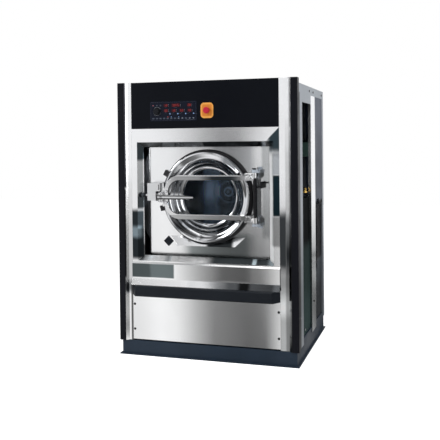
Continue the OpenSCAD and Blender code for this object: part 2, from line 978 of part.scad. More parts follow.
module bearing_housing() {
    flange_r = 172;
    flange_t = 16;
    barrel_r = bearing_r + 18;
    ribs = 6;
    rib_t = 9;
    color("dimgray") {
        turned(front_x, tub_back, door_z)
            polygon([[bearing_r, 0], [flange_r, 0], [flange_r, flange_t], [barrel_r + 30, flange_t + 6],
                [barrel_r, flange_t + 40], [barrel_r, housing_l], [bearing_r, housing_l],
                [bearing_r, housing_l - bearing_w], [bearing_r - 10, housing_l - bearing_w],
                [bearing_r - 10, bearing_w], [bearing_r, bearing_w]]);
        for (i = [0 : ribs - 1]) {
            translate([front_x, tub_back + flange_t - 1, door_z])
                rotate([0, i * 360 / ribs, 0])
                    translate([0, 0, barrel_r - 6])
                        rotate([0, 90, 0])
                            linear_extrude(rib_t, center = true)
                                polygon([[0, 0], [0, 112], [-10, 112], [barrel_r - flange_r + 12, 0]]);
            translate([front_x, tub_back + flange_t, door_z])
                rotate([0, (i + 0.5) * 360 / ribs, 0])
                    translate([0, 0, flange_r - 16])
                        rotate([-90, 0, 0]) cylinder(r = 10, h = 8, $fn = 6);
        }
    }
}

module shaft_bearings() {
    groove = 3;
    inner = shaft_r + run_gap;
    color("lightsteelblue") {
        for (y = [tub_back, housing_end - bearing_w]) {
            turned(front_x, y, door_z)
                polygon([[inner, 0], [inner + 8, 0], [inner + 8, groove], [bearing_r - 7, groove],
                    [bearing_r - 7, 0], [bearing_r, 0], [bearing_r, bearing_w], [bearing_r - 7, bearing_w],
                    [bearing_r - 7, bearing_w - groove], [inner + 8, bearing_w - groove],
                    [inner + 8, bearing_w], [inner, bearing_w]]);
        }
    }
}

// Rotating drum

module drum() {
    hub_r = 58;
    color("lightsteelblue") difference() {
        union() {
            difference() {
                rod_y(front_x, drum_y + drum_wall, door_z, drum_r, drum_l - drum_wall, $fn = 128);
                rod_y(front_x, drum_y + drum_wall - 1, door_z, drum_r - drum_wall,
                    drum_l - 2 * drum_wall + 1, $fn = 128);
            }
            turned(front_x, drum_back - drum_wall, door_z)
                polygon([[0, -26], [18, -26], [20, -12], [hub_r - 8, -12], [hub_r, -4], [hub_r, 0], [0, 0]]);
        }
        perforations();
    }
}

// Front head of the drum, with a rolled edge round its mouth
module drum_front() {
    color("lightsteelblue") turned(front_x, drum_y, door_z) {
        polygon([[drum_mouth_r + 3, -1], [drum_mouth_r + 6, 0], [drum_r, 0], [drum_r, drum_wall],
            [drum_mouth_r + 8, drum_wall], [drum_mouth_r + 8, 7], [drum_mouth_r + 6, 9],
            [drum_mouth_r + 2, 9], [drum_mouth_r, 6], [drum_mouth_r, 1]]);
    }
}

// Round holes in the drum shell, in columns that leave room for the lifters
module perforations() {
    column_angle = 360 / hole_columns;
    row_pitch = (drum_l - 70) / hole_rows;
    for (i = [0 : hole_columns - 1], j = [0 : hole_rows - 1]) {
        translate([front_x, drum_y + 35 + (j + 0.5) * row_pitch, door_z])
            rotate([0, (i + 0.5) * column_angle, 0])
                translate([0, 0, drum_r - 10]) cylinder(r = hole_r, h = 20, $fn = 24);
    }
}

module drum_lifters() {
    base_w = 100;
    tip_r = 16;
    l = drum_l - 50;
    color("lightsteelblue") {
        for (i = [0 : lifter_count - 1]) {
            translate([front_x, drum_y + 25, door_z])
                rotate([0, i * 360 / lifter_count, 0])
                    intersection() {
                        rotate([-90, 0, 0]) cylinder(r = drum_r - drum_wall, h = l, $fn = 128);
                        translate([0, l, 0])
                            rotate([90, 0, 0])
                                linear_extrude(l) lifter_outline(base_w, tip_r);
                    }
        }
    }
}

// Tapered rib with a round crest, hanging from the drum's top towards its axis
module lifter_outline(base_w, tip_r) {
    crest = drum_r - lifter_h;
    translate([0, crest + tip_r]) circle(r = tip_r);
    polygon([[-base_w / 2, drum_r + 5], [base_w / 2, drum_r + 5],
        [tip_r * 0.94, crest + tip_r * 0.66], [-tip_r * 0.94, crest + tip_r * 0.66]]);
}

module drum_spider() {
    hub_r = 66;
    arm_t = 26;
    color("darkgray") {
        plate_xz(drum_back, arm_t)
            translate([front_x, door_z]) spider_outline(hub_r);
        turned(front_x, drum_back, door_z)
            translate([shaft_r, arm_t - 1]) square([hub_r - shaft_r - 5, spider_t - arm_t + 1]);
    }
}

// Hub ring with one tapered arm for each lifter
module spider_outline(hub_r) {
    root_w = 92;
    tip_w = 46;
    tip_at = drum_r - 25;
    difference() {
        union() {
            circle(r = hub_r, $fn = 96);
            for (i = [0 : lifter_count - 1]) {
                rotate(i * 360 / lifter_count)
                    polygon([[-root_w / 2, shaft_r + 8], [root_w / 2, shaft_r + 8],
                        [tip_w / 2, tip_at], [-tip_w / 2, tip_at]]);
            }
        }
        circle(r = shaft_r, $fn = 96);
    }
}

module drum_shaft() {
    thread_l = 26;
    color("silver") {
        rod_y(front_x, drum_back, door_z, shaft_r, shaft_end - drum_back);
        rod_y(front_x, shaft_end, door_z, shaft_r - 10, thread_l);
        translate([front_x, shaft_end + 16, door_z])
            rotate([90, 0, 0]) cylinder(r = shaft_r, h = 16, $fn = 6);
    }
}

// Groove cutter of one belt, as a profile of radius and depth
module groove_profile(r, y) {
    mouth = groove_pitch / 2 - 0.8;
    floor_w = belt_w / 2 + part_gap;
    polygon([[r - groove_d, y - floor_w], [r + 1, y - mouth], [r + 1, y + mouth],
        [r - groove_d, y + floor_w]]);
}

function groove_y(i) = (i - 1) * groove_pitch + pulley_w / 2;

module drum_pulley() {
    rim_t = 24;
    hub_r = shaft_r + 24;
    web_t = 14;
    r = drum_pulley_r;
    hole_at = (hub_r + r - rim_t) / 2;
    color("dimgray") difference() {
        turned(front_x, pulley_y, door_z)
            difference() {
                union() {
                    translate([shaft_r, 0]) square([hub_r - shaft_r, pulley_w]);
                    translate([hub_r - 1, (pulley_w - web_t) / 2])
                        square([r - rim_t - hub_r + 2, web_t]);
                    translate([r - rim_t, 0]) square([rim_t, pulley_w]);
                }
                for (i = [0 : 2]) {
                    groove_profile(r, groove_y(i));
                }
            }
        for (i = [0 : 4]) {
            translate([front_x, pulley_y - 1, door_z])
                rotate([0, i * 72, 0])
                    translate([0, 0, hole_at])
                        rotate([-90, 0, 0]) cylinder(r = 33, h = pulley_w + 2);
        }
    }
}

// Outline of a belt's loop that runs r1 round the drum axis and r2 round the motor axis
module belt_outline(r1, r2) {
    run = [motor_x - front_x, motor_z - door_z];
    c = norm(run);
    heading = atan2(run.y, run.x);
    spread = acos((r1 - r2) / c);
    arms = [heading + spread, heading - spread];
    start = [for (a = arms) r1 * [cos(a), sin(a)]];
    end = [for (a = arms) run + r2 * [cos(a), sin(a)]];
    circle(r = r1, $fn = 128);
    translate(run) circle(r = r2, $fn = 96);
    polygon([[0, 0], start[0], end[0], run, end[1], start[1]]);
}

module drive_belts() {
    inner = groove_d - part_gap - 0.2;
    r1 = drum_pulley_r - inner;
    r2 = motor_pulley_r - inner;
    color("black") {
        for (i = [0 : 2]) {
            plate_xz(pulley_y + groove_y(i) - belt_w / 2, belt_w)
                translate([front_x, door_z])
                    difference() {
                        belt_outline(r1 + belt_h, r2 + belt_h);
                        belt_outline(r1, r2);
                    }
        }
    }
}

module drive_motor() {
    fins = 24;
    fin_t = 4;
    fin_h = 10;
    core_r = motor_r - fin_h;
    cowl_l = 42;
    end_l = 24;
    foot_w = 34;
    box_w = 96;
    color("slateblue") difference() {
        union() {
            rod_y(motor_x, motor_y, motor_z, core_r, motor_l);
            rod_y(motor_x, motor_y, motor_z, motor_r, cowl_l);
            rod_y(motor_x, motor_y + motor_l - end_l, motor_z, motor_r - 2, end_l);
            for (i = [0 : fins - 1]) {
                translate([motor_x, motor_y + cowl_l - 1, motor_z])
                    rotate([0, i * 360 / fins, 0])
                        translate([-fin_t / 2, 0, core_r - 4])
                            cube([fin_t, motor_l - cowl_l - end_l + 2, fin_h]);
            }
            for (x = [-1, 1]) {
                box([motor_x + x * 60 - foot_w / 2, motor_y + 60, bracket_top],
                    [motor_x + x * 60 + foot_w / 2, motor_y + motor_l - 40, motor_z - 40]);
            }
            box([motor_x - box_w / 2, motor_y + 70, motor_z + core_r - 12],
                [motor_x + box_w / 2, motor_y + 160, motor_z + motor_r + 34]);
        }
        rod_y(motor_x, motor_y + motor_l - 30, motor_z, motor_shaft_r + run_gap, 31);
        for (i = [0 : 5]) {
            translate([motor_x, motor_y - 1, motor_z])
                rotate([0, i * 60, 0])
                    translate([0, 0, core_r * 0.6])
                        rotate([-90, 0, 0]) cylinder(r = 15, h = 7);
        }
    }
}

module motor_pulley() {
    r = motor_pulley_r;
    color("dimgray") {
        turned(motor_x, pulley_y, motor_z)
            difference() {
                square([r, pulley_w]);
                for (i = [0 : 2]) {
                    groove_profile(r, groove_y(i));
                }
            }
        rod_y(motor_x, motor_y + motor_l - 28, motor_z, motor_shaft_r, pulley_y - motor_y - motor_l + 29);
    }
}

module motor_bracket() {
    half = 112;
    y0 = motor_y + 30;
    l = motor_l - 40;
    flange = 30;
    t = bracket_t;
    color("slategray") difference() {
        plate_xz(y0, l)
            translate([motor_x, 0])
                polygon([[-half - flange, plinth_h], [-half, plinth_h], [-half, bracket_top - t],
                    [half, bracket_top - t], [half, plinth_h], [half + flange, plinth_h],
                    [half + flange, plinth_h + t], [half + t, plinth_h + t], [half + t, bracket_top],
                    [-half - t, bracket_top], [-half - t, plinth_h + t], [-half - flange, plinth_h + t]]);
        translate([motor_x, y0 + l / 2, bracket_top - t - 1])
            linear_extrude(t + 2) rounded(50, l - 60, 12);
    }
}

// Door

// Radius and depth of the dish between its neck and its glass, at a share of the way
function dish_point(k, drop) = [
    neck_r + (glass_r + 4 - neck_r) * k,
    neck_d + (dish_d - 8 - neck_d) * k + drop
];

// Steps of the dish, each a slope that ends in a small drop
function dish_steps() = [for (i = [0 : dish_count - 1], p = [0, 1])
    dish_point((i + p * 0.86) / dish_count, p == 0 && i > 0 ? 3 : 0)];

module door_ring() {
    bead = [[door_r, ring_t], [door_r, 4], [door_r - 2, 1], [door_r - 5, 0], [door_r - 10, 0],
        [door_r - 13, 2], [door_r - 14, 5], [door_r - 17, 7]];
    land = [[neck_r + 3, neck_d - 3]];
    seat = [[glass_r, dish_d - 8], [glass_r, dish_d], [glass_r + 10, dish_d]];
    back = [[neck_r + 1, ring_t + 6], [neck_r + 1, ring_t]];
    color("silver") turned(front_x, ring_y, door_z)
        polygon(concat(bead, land, dish_steps(), seat, back));
}

module door_glass() {
    d = dish_d;
    t = glass_t;
    color("lightblue", 0.4) turned(front_x, ring_y, door_z)
        polygon([[glass_r - 9, d], [glass_r + 7, d], [glass_r + 7, d + 6], [glass_r - 2, d + 8],
            [window_r + 8, d + t + 12], [window_r, d + t + 16], [window_r * 0.6, d + t + 18.5],
            [0, d + t + 20], [0, d + 20], [window_r * 0.6, d + 18.5], [window_r - 2, d + 15],
            [window_r + 6, d + 8]]);
}

// Round-cornered loop outline of the yoke, open to the right
module yoke_outline(left, half, r) {
    translate([-left + r, -half]) square([left + yoke_right - r, 2 * half]);
    translate([-left, -half + r]) square([r + 1, 2 * half - 2 * r]);
    for (z = [-1, 1]) {
        translate([-left + r, z * (half - r)]) circle(r = r, $fn = 96);
    }
}

module door_yoke() {
    half = yoke_h / 2;
    inner_half = half - arm_h;
    inner_left = yoke_left - yoke_bar_w;
    plate_x = lever_x - eye_r - 2;
    color("silver") difference() {
        union() {
            plate_xz(yoke_y, yoke_t)
                translate([front_x, door_z])
                    difference() {
                        yoke_outline(yoke_left, half, yoke_r);
                        translate([0, 0]) intersection() {
                            yoke_outline(inner_left, inner_half, yoke_r - yoke_bar_w - 3);
                            translate([-yoke_left, -half]) square([yoke_left + yoke_right + 9, 2 * half]);
                        }
                        translate([yoke_right - 1, -inner_half]) square([30, 2 * inner_half]);
                    }
            for (x = [-1, 1], z = [-1, 1]) {
                yoke_pad(x, z);
            }
            for (z = [latch_z, -latch_z - latch_plate_t]) {
                translate([0, 0, door_z + z]) linear_extrude(latch_plate_t) latch_plate();
            }
            box([lever_x - 5, lever_y + 17, door_z + latch_z + 1],
                [yoke_end - 5, lever_y + 23, door_z + 76]);
        }
        translate([lever_x, lever_y, door_z - 50]) cylinder(r = lever_bolt_r, h = 100);
    }
}

// Boss that seats the yoke on the door ring's bead, on side x and height z
module yoke_pad(x, z) {
    pad_r = 9;
    seat_r = door_r - 8;
    pad_z = x > 0 ? yoke_h / 2 - arm_h / 2 : 42;
    pad_x = sqrt(seat_r * seat_r - pad_z * pad_z);
    rod_y(front_x + x * pad_x, yoke_y + 3, door_z + z * pad_z, pad_r, yoke_t + pad_t - 3);
}

// Plate that joins the yoke's end, the lever bolt and the tongue, seen from above
module latch_plate() {
    tongue_w = 18;
    translate([lever_x, lever_y]) circle(r = eye_r + 1);
    translate([tongue_x, lever_y - 9]) square([lever_x - tongue_x, 18]);
    translate([tongue_x, yoke_back - tongue_w])
        square([yoke_end + 5 - tongue_x, tongue_w]);
    translate([lever_x - eye_r - 1, lever_y])
        square([2 * eye_r + 2, yoke_back - tongue_w / 2 - lever_y]);
}

// Upper and lower hinge knuckle, each with the bracket that holds an arm
module hinge_knuckles() {
    arm_end = front_x + yoke_right;
    clamp_l = 34;
    clamp_t = 5;
    clamp_y = yoke_y + 7;
    color("gainsboro") {
        for (m = [0, 1]) {
            translate([0, 0, door_z])
                mirror([0, 0, m])
                    difference() {
                        union() {
                            translate([hinge_x, hinge_y, knuckle_in])
                                cylinder(r = knuckle_r, h = knuckle_out - knuckle_in - part_gap);
                            box([arm_end, yoke_y, knuckle_in - arm_h / 2 + 1],
                                [hinge_x, yoke_back, knuckle_in + arm_h / 2 - 1]);
                            box([arm_end - clamp_l, yoke_y - clamp_t, knuckle_in - arm_h / 2],
                                [arm_end + 8, yoke_y, knuckle_in + arm_h / 2]);
                            translate([arm_end + 5, yoke_y, knuckle_in])
                                rotate([90, 0, 0]) cylinder(r = 14, h = 8);
                            hex_head_y(arm_end + 5, yoke_y - 8, knuckle_in, 9, 5);
                            rod_x(arm_end - 10, clamp_y, knuckle_in + 20, 6.3, hinge_x - arm_end + 5);
                            translate([arm_end - 17, clamp_y, knuckle_in + 20])
                                rotate([0, 90, 0]) cylinder(r = 6.5, h = 8, $fn = 6);
                        }
                        translate([hinge_x, hinge_y, knuckle_in - 20])
                            cylinder(r = pin_r + run_gap, h = 60);
                    }
        }
    }
}

module hinge_pin() {
    head_h = 6;
    color("black") {
        translate([hinge_x, hinge_y, pin_bottom]) cylinder(r = pin_r, h = pin_top - pin_bottom);
        translate([hinge_x, hinge_y, pin_top - head_h]) cylinder(r = pin_r + 4, h = head_h);
    }
}

module hinge_post() {
    foot_t = 8;
    web_y = hinge_y + 12;
    web_x = hinge_x + knuckle_r + 3;
    web_t = 12;
    waist_x = hinge_x + 2;
    waist_h = knuckle_in - 9;
    flare_h = knuckle_in + 8;
    top = knuckle_out + ear_t;
    foot_half = top + 14;
    color("dimgray") difference() {
        union() {
            plate_xz(web_y, plate_y - web_y)
                translate([0, door_z])
                    difference() {
                        translate([waist_x, -top]) square([web_x + web_t - waist_x, 2 * top]);
                        for (m = [0, 1]) mirror([0, m]) {
                            polygon([[waist_x - 1, flare_h], [web_x, flare_h], [web_x, top + 1],
                                [waist_x - 1, top + 1]]);
                            polygon([[waist_x - 1, waist_h], [waist_x, waist_h], [web_x, flare_h],
                                [waist_x - 1, flare_h]]);
                        }
                        polygon([[waist_x + web_t, -waist_h], [web_x + web_t, -flare_h],
                            [web_x + web_t + 1, 0], [web_x + web_t, flare_h],
                            [waist_x + web_t, waist_h]]);
                    }
            box([web_x - 8, plate_y - foot_t, door_z - foot_half],
                [web_x + web_t, plate_y, door_z - top + 30]);
            box([web_x - 8, plate_y - foot_t, door_z + top - 30],
                [web_x + web_t, plate_y, door_z + foot_half]);
            for (z = [knuckle_out, -top]) {
                translate([0, 0, door_z + z])
                    linear_extrude(ear_t) ear_outline(web_x, web_t);
            }
        }
        translate([hinge_x, hinge_y, door_z - 200]) cylinder(r = pin_r, h = 400);
    }
}

// Ear of the hinge post, seen from above
module ear_outline(web_x, web_t) {
    translate([hinge_x, hinge_y]) circle(r = 14);
    translate([hinge_x - 14, hinge_y]) square([web_x + web_t - hinge_x + 14, plate_y - hinge_y]);
    translate([hinge_x, hinge_y - 14]) square([web_x - hinge_x + 4, 30]);
}

module latch_lever() {
    tip_x = lever_x + lever_l;
    taper_x = tip_x - lever_tip_l;
    lever_tail = 17;
    half = lever_h / 2;
    color("silver") difference() {
        intersection() {
            union() {
                translate([lever_x, lever_y, door_z - half]) cylinder(r = eye_r, h = lever_h);
                translate([lever_x - lever_tail, lever_y, door_z - half])
                    cylinder(r = 7, h = lever_h);
                box([lever_x - lever_tail, lever_y - 7, door_z - half],
                    [lever_x, lever_y + 7, door_z + half]);
                box([lever_x, lever_y - lever_t / 2, door_z - half],
                    [tip_x, lever_y + lever_t / 2, door_z + half]);
            }
            plate_xz(lever_y - eye_r - 1, 2 * eye_r + 2)
                translate([0, door_z])
                    polygon([[tongue_x, -half], [taper_x, -half], [tip_x - 4, -half * 0.45],
                        [tip_x, -half * 0.3], [tip_x, half * 0.3], [tip_x - 4, half * 0.45],
                        [taper_x, half], [tongue_x, half]]);
        }
        translate([lever_x, lever_y, door_z - 50]) cylinder(r = lever_bolt_r + run_gap, h = 100);
    }
}

module latch_bolts() {
    grip = latch_z + latch_plate_t;
    head = bolt_head_h;
    head_r = 10;
    color("gainsboro") {
        translate([lever_x, lever_y, door_z - grip - 2]) cylinder(r = lever_bolt_r, h = 2 * grip + 4);
        for (z = [grip, -grip - 3]) {
            translate([lever_x, lever_y, door_z + z]) cylinder(r = 16, h = 3);
        }
        for (z = [grip, -grip - head]) {
            translate([lever_x, lever_y, door_z + z]) cylinder(r = head_r, h = head, $fn = 6);
        }
        for (z = [-1, 1]) {
            hex_head_y(yoke_bolt_x, yoke_y, door_z + z * (grip + head_r), head_r - 2, head);
        }
    }
}

module lock_box() {
    slot_x = tongue_x - lock_gap;
    tongue_top = latch_z + latch_plate_t + bolt_head_h + lock_gap;
    box_low = door_z - 19;
    box_high = box_low + lock_h;
    knob_l = 16;
    knob_y = lock_y + 12;
    stem_l = 20;
    color("whitesmoke") {
        difference() {
            box([lock_x, lock_y, box_low], [lock_x + lock_w, plate_y, box_high]);
            box([slot_x, lock_y - 1, box_low - 1], [lock_x + lock_w + 1, plate_y + 1, door_z + tongue_top]);
            box([lock_x + lock_w - 9, lock_y - 1, door_z + tongue_top + 8],
                [lock_x + lock_w - 4, lock_y + 30, box_high - 8]);
            box([front_x - gasket_r - 4, ring_back - 4, box_low - 1],
                [lock_x + lock_w + 1, plate_y + 1, box_high + 1]);
        }
        rod_x(lock_x - stem_l, knob_y, door_z + 10, 6, stem_l);
        rod_x(lock_x - stem_l - knob_l, knob_y, door_z + 10, 10, knob_l);
        rod_x(lock_x - stem_l - knob_l + 3, knob_y, door_z + 10, 13, knob_l - 6);
    }
}

module door_switch_arm() {
    rod_r = 3.5;
    web_y = hinge_y + 12;
    low_z = door_z + 56;
    high_z = door_z + 78;
    start_x = hinge_x + pin_r + 1;
    knee_x = hinge_x + 34;
    color("black") {
        rod_x(start_x, web_y - rod_r, low_z, rod_r, knee_x - start_x);
        box([knee_x - 5, web_y - 2 * rod_r, low_z - 6], [knee_x + 5, plate_y, high_z + 6]);
        rod_x(knee_x, plate_y - 15, high_z, rod_r, 31);
    }
}

// Services

module vent_pipe() {
    pipe_r = 14;
    pipe_x = side_x - centre_post_d - pipe_r - 8;
    pipe_y = centre_post_end - 6;
    low = door_z + 15;
    color("darkslateblue") difference() {
        union() {
            translate([pipe_x, pipe_y, low]) cylinder(r = pipe_r, h = rail_z - low);
            translate([pipe_x, pipe_y, low]) sphere(r = pipe_r);
            rod_x(front_x + tub_r - 20, pipe_y, low, pipe_r, pipe_x - front_x - tub_r + 20);
            for (z = [low + 120, rail_z - 120]) {
                box([pipe_x, pipe_y - 8, z], [side_x - centre_post_d, pipe_y + 6, z + 16]);
            }
        }
        rod_y(front_x, tub_y - 50, door_z, tub_r, tub_l + 100, $fn = 128);
    }
}

module drain_valve() {
    valve_r = 56;
    valve_z = drain_z + 120;
    pipe_r = drain_r - 2;
    bore_r = drain_r - 4;
    collar_l = 14;
    color("gray") difference() {
        union() {
            translate([front_x, sump_y, drain_z]) cylinder(r = pipe_r, h = valve_z - drain_z + 1);
            translate([front_x, sump_y, valve_z]) cylinder(r = valve_r, h = 64);
            translate([front_x, sump_y, valve_z]) cylinder(r = drain_r, h = door_z - tub_r + 40 - valve_z);
            translate([front_x, sump_y, drain_z]) sphere(r = pipe_r);
            rod_y(front_x, sump_y, drain_z, pipe_r, back_y - sump_y);
            rod_y(front_x, back_y - collar_l, drain_z, drain_collar_r, collar_l);
            rod_y(front_x, back_y - 1, drain_z, drain_r, drain_out + 1);
            box([front_x + valve_r - 8, sump_y - 30, valve_z + 6],
                [front_x + valve_r + 60, sump_y + 30, valve_z + 58]);
            for (y = [sump_y - 12, back_y - 120]) {
                box([front_x - 26, y, plinth_h], [front_x + 26, y + 24, drain_z]);
            }
        }
        rod_y(front_x, tub_y - 50, door_z, tub_r, tub_l + 100, $fn = 128);
        rod_y(front_x, back_y - 80, drain_z, bore_r, drain_out + 81);
    }
}

module water_valves() {
    body_w2 = 22;
    valve_l = 52;
    coil_r = 17;
    inner = rear_in - valve_l;
    color("lightsteelblue") {
        for (x = inlet_places) {
            difference() {
                union() {
                    rod_y(x, rear_in - 20, inlet_z, inlet_r, 20 + sheet_t + inlet_l);
                    rod_y(x, rear_in - 8, inlet_z, inlet_collar_r, 8 + sheet_t);
                    box([x - body_w2, inner, inlet_z - 22], [x + body_w2, rear_in - 7, inlet_z + 20]);
                    translate([x, inner + 24, inlet_z + 19]) cylinder(r = coil_r, h = 44);
                }
                rod_y(x, back_y - 10, inlet_z, inlet_r - 3, inlet_l + 11);
            }
        }
    }
}

module fill_pipes() {
    pipe_r = 12;
    valve_in = rear_in - 52;
    drop_y = tub_back - 78;
    run_z = inlet_z - 8;
    color("darkslateblue") difference() {
        for (x = inlet_places) {
            rod_y(x, drop_y, run_z, pipe_r, valve_in - drop_y);
            translate([x, drop_y, run_z]) sphere(r = pipe_r);
            translate([x, drop_y, door_z]) cylinder(r = pipe_r, h = run_z - door_z);
        }
        rod_y(front_x, tub_y - 50, door_z, tub_r, tub_l + 100, $fn = 128);
    }
}

module control_box() {
    box_h = roof_under - door_z - tub_r - 24;
    box_w = 480;
    box_d = 170;
    box_y = post_y + 8;
    low = roof_under - box_h;
    left = front_x - 280;
    color("lightgray") {
        box([left, box_y, low], [left + box_w, box_y + box_d, roof_under]);
        plate_xz(box_y - 3, 3)
            translate([left + box_w / 2, low + box_h / 2]) rounded(box_w - 24, box_h - 24, 10);
    }
}

plinth();
front_posts();
rear_posts();
right_centre_post();
right_top_rail();
right_front_panel();
right_rear_panels();
equipment_shelf();
left_side_panel();
roof_panel();
rear_panel();
panel_screws();
left_pillar();
right_pillar();
left_trim_strip();
right_trim_strip();
fascia();
control_panel();
control_keys();
display_windows();
control_knob();
stop_plate();
stop_button();
surround_frame();
front_plate();
apron();
bumper_bar();
service_panel();
drip_lip();
marker_plate();
outer_tub();
door_gasket();
tub_brackets();
drum();
drum_front();
drum_lifters();
drum_spider();
drum_shaft();
bearing_housing();
shaft_bearings();
drum_pulley();
drive_belts();
drive_motor();
motor_pulley();
motor_bracket();
door_ring();
door_glass();
door_yoke();
hinge_knuckles();
hinge_pin();
hinge_post();
latch_lever();
latch_bolts();
lock_box();
door_switch_arm();
vent_pipe();
drain_valve();
water_valves();
fill_pipes();
control_box();
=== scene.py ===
"""Looks, small trim, light and camera for the industrial washing machine.

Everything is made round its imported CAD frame, in metres, with the front facing -Y.
"""

import json
import math
import random

import bmesh
import bpy
from mathutils import Matrix, Vector


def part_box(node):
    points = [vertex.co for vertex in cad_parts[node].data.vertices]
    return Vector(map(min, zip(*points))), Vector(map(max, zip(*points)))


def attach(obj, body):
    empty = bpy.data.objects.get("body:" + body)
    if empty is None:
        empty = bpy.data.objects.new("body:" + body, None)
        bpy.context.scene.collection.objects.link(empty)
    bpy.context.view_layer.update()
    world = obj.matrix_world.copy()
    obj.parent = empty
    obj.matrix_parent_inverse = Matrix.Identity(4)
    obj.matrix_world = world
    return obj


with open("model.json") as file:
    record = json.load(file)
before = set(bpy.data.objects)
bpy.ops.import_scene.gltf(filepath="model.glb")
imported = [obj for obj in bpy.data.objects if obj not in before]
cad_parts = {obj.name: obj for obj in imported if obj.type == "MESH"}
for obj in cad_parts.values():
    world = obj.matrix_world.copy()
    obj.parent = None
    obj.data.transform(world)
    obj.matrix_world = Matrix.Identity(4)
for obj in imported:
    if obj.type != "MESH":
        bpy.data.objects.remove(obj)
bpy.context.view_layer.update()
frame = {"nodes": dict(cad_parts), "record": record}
NODES = frame["nodes"]
random.seed(7)


# Shader building

FINE_DEPTH = 0.0004  # how deep the fine relief of a surface is
EDGE_ROUND = 0.001  # how far most edges are rounded off
FAR = 9.0  # past any piece: the open side of a zone


class Graph:
    """A tree of shader nodes, with short calls that add, set and link them."""

    def __init__(self, tree, output, coordinates):
        self.tree = tree
        tree.nodes.clear()
        self.output = self.add(output)
        self.coordinates = self.add("ShaderNodeTexCoord").outputs[coordinates]

    def add(self, kind, **settings):
        node = self.tree.nodes.new(kind)
        for key, value in settings.items():
            setattr(node, key, value)
        return node

    def link(self, source, target):
        self.tree.links.new(source, target)

    def put(self, node, socket, value):
        """Sets a socket's own number or colour, or links an output to it."""
        if isinstance(value, bpy.types.NodeSocket):
            self.link(value, node.inputs[socket])
        else:
            node.inputs[socket].default_value = value

    def mapped(self, scale=(1, 1, 1), place=(0, 0, 0)):
        mapping = self.add("ShaderNodeMapping")
        self.put(mapping, "Vector", self.coordinates)
        self.put(mapping, "Scale", scale)
        self.put(mapping, "Location", place)
        return mapping.outputs["Vector"]

    def axes(self, vector):
        """A vector's outputs X, Y and Z."""
        split = self.add("ShaderNodeSeparateXYZ")
        self.put(split, "Vector", vector)
        return split.outputs

    def around(self, place):
        """Direction of (X, Y) round the Z axis, as a share of a turn that is 0.5 at +Y."""
        turn = self.math("ARCTAN2", place["X"], place["Y"])
        return self.math("MULTIPLY_ADD", turn, 0.5 / math.pi, 0.5)

    def noise(self, scale, detail=3.0, roughness=0.5, place=(0, 0, 0)):
        """Noise with that many grains a metre along each axis."""
        texture = self.add("ShaderNodeTexNoise")
        self.put(texture, "Vector", self.mapped(scale, place))
        self.put(texture, "Scale", 1.0)
        self.put(texture, "Detail", detail)
        self.put(texture, "Roughness", roughness)
        return texture.outputs["Fac"]

    def ramp(self, factor, stops):
        """Colours between stops of (position, colour), where a number stands for a grey."""
        node = self.add("ShaderNodeValToRGB")
        while len(node.color_ramp.elements) < len(stops):
            node.color_ramp.elements.new(0.5)
        for element, (position, colour) in zip(node.color_ramp.elements, stops):
            element.position = position
            if not isinstance(colour, (tuple, list)):
                colour = (colour, colour, colour)
            element.color = (*colour[:3], 1)
        self.put(node, "Fac", factor)
        return node.outputs["Color"]

    def math(self, operation, a, b=None, c=None):
        node = self.add("ShaderNodeMath", operation=operation)
        for socket, value in enumerate((a, b, c)):
            if value is not None:
                self.put(node, socket, value)
        return node.outputs[0]

    def mix(self, factor, a, b, blend="MIX"):
        node = self.add("ShaderNodeMix", data_type="RGBA", blend_type=blend)
        self.put(node, "Factor", factor)
        for socket, value in ((6, a), (7, b)):
            if isinstance(value, (tuple, list)):
                value = (*value[:3], 1)
            self.put(node, socket, value)
        return node.outputs[2]

    def step(self, value, start, end):
        """Rises smoothly from 0 where the value is start to 1 where it is end."""
        node = self.add("ShaderNodeMapRange", interpolation_type="SMOOTHSTEP")
        self.put(node, "Value", value)
        self.put(node, "From Min", start)
        self.put(node, "From Max", end)
        return node.outputs["Result"]

    def shader(self, kind, **sockets):
        """A shader node with its sockets set, each written with _ for a space."""
        node = self.add(kind)
        for name, value in sockets.items():
            if isinstance(value, (tuple, list)) and len(value) == 3:
                value = (*value, 1)
            self.put(node, name.replace("_", " "), value)
        return node.outputs[0]

    def blend(self, factor, a, b):
        """Shader a, which gives way to shader b as the factor goes to 1."""
        node = self.add("ShaderNodeMixShader")
        for socket, value in enumerate((factor, a, b)):
            self.link(value, node.inputs[socket])
        return node.outputs[0]

    def rays(self):
        """Outputs that tell what kind of ray meets the surface."""
        return self.add("ShaderNodeLightPath").outputs

    def seen_in_metal(self, rays):
        """1 for rays that metal mirrors or glass lets through."""
        return self.math("MAXIMUM", rays["Is Glossy Ray"], rays["Is Transmission Ray"])

    def show(self, shader):
        self.link(shader, self.output.inputs["Surface"])


class Shader(Graph):
    """A material of nodes, whose textures all read the object's own coordinates."""

    def __init__(self, name):
        self.material = bpy.data.materials.new(name)
        self.material.use_nodes = True
        super().__init__(self.material.node_tree, "ShaderNodeOutputMaterial", "Object")

    def bevel(self, radius):
        node = self.add("ShaderNodeBevel", samples=4)
        self.put(node, "Radius", radius)
        return node.outputs["Normal"]

    def bump(self, height, strength, normal=None, depth=FINE_DEPTH):
        node = self.add("ShaderNodeBump")
        self.put(node, "Height", height)
        self.put(node, "Strength", strength)
        self.put(node, "Distance", depth)
        if normal is not None:
            self.link(normal, node.inputs["Normal"])
        return node.outputs["Normal"]

    def radius_from(self, x, z):
        """Distance from an axis along Y through (x, z), for turned pieces."""
        place = self.axes(self.mapped(place=(-x, 0, -z)))
        squares = self.math("MULTIPLY", place["X"], place["X"])
        total = self.math("MULTIPLY_ADD", place["Z"], place["Z"], squares)
        return self.math("SQRT", total)

    def surface(self, **sockets):
        self.show(self.shader("ShaderNodeBsdfPrincipled", **sockets))
        return self.material


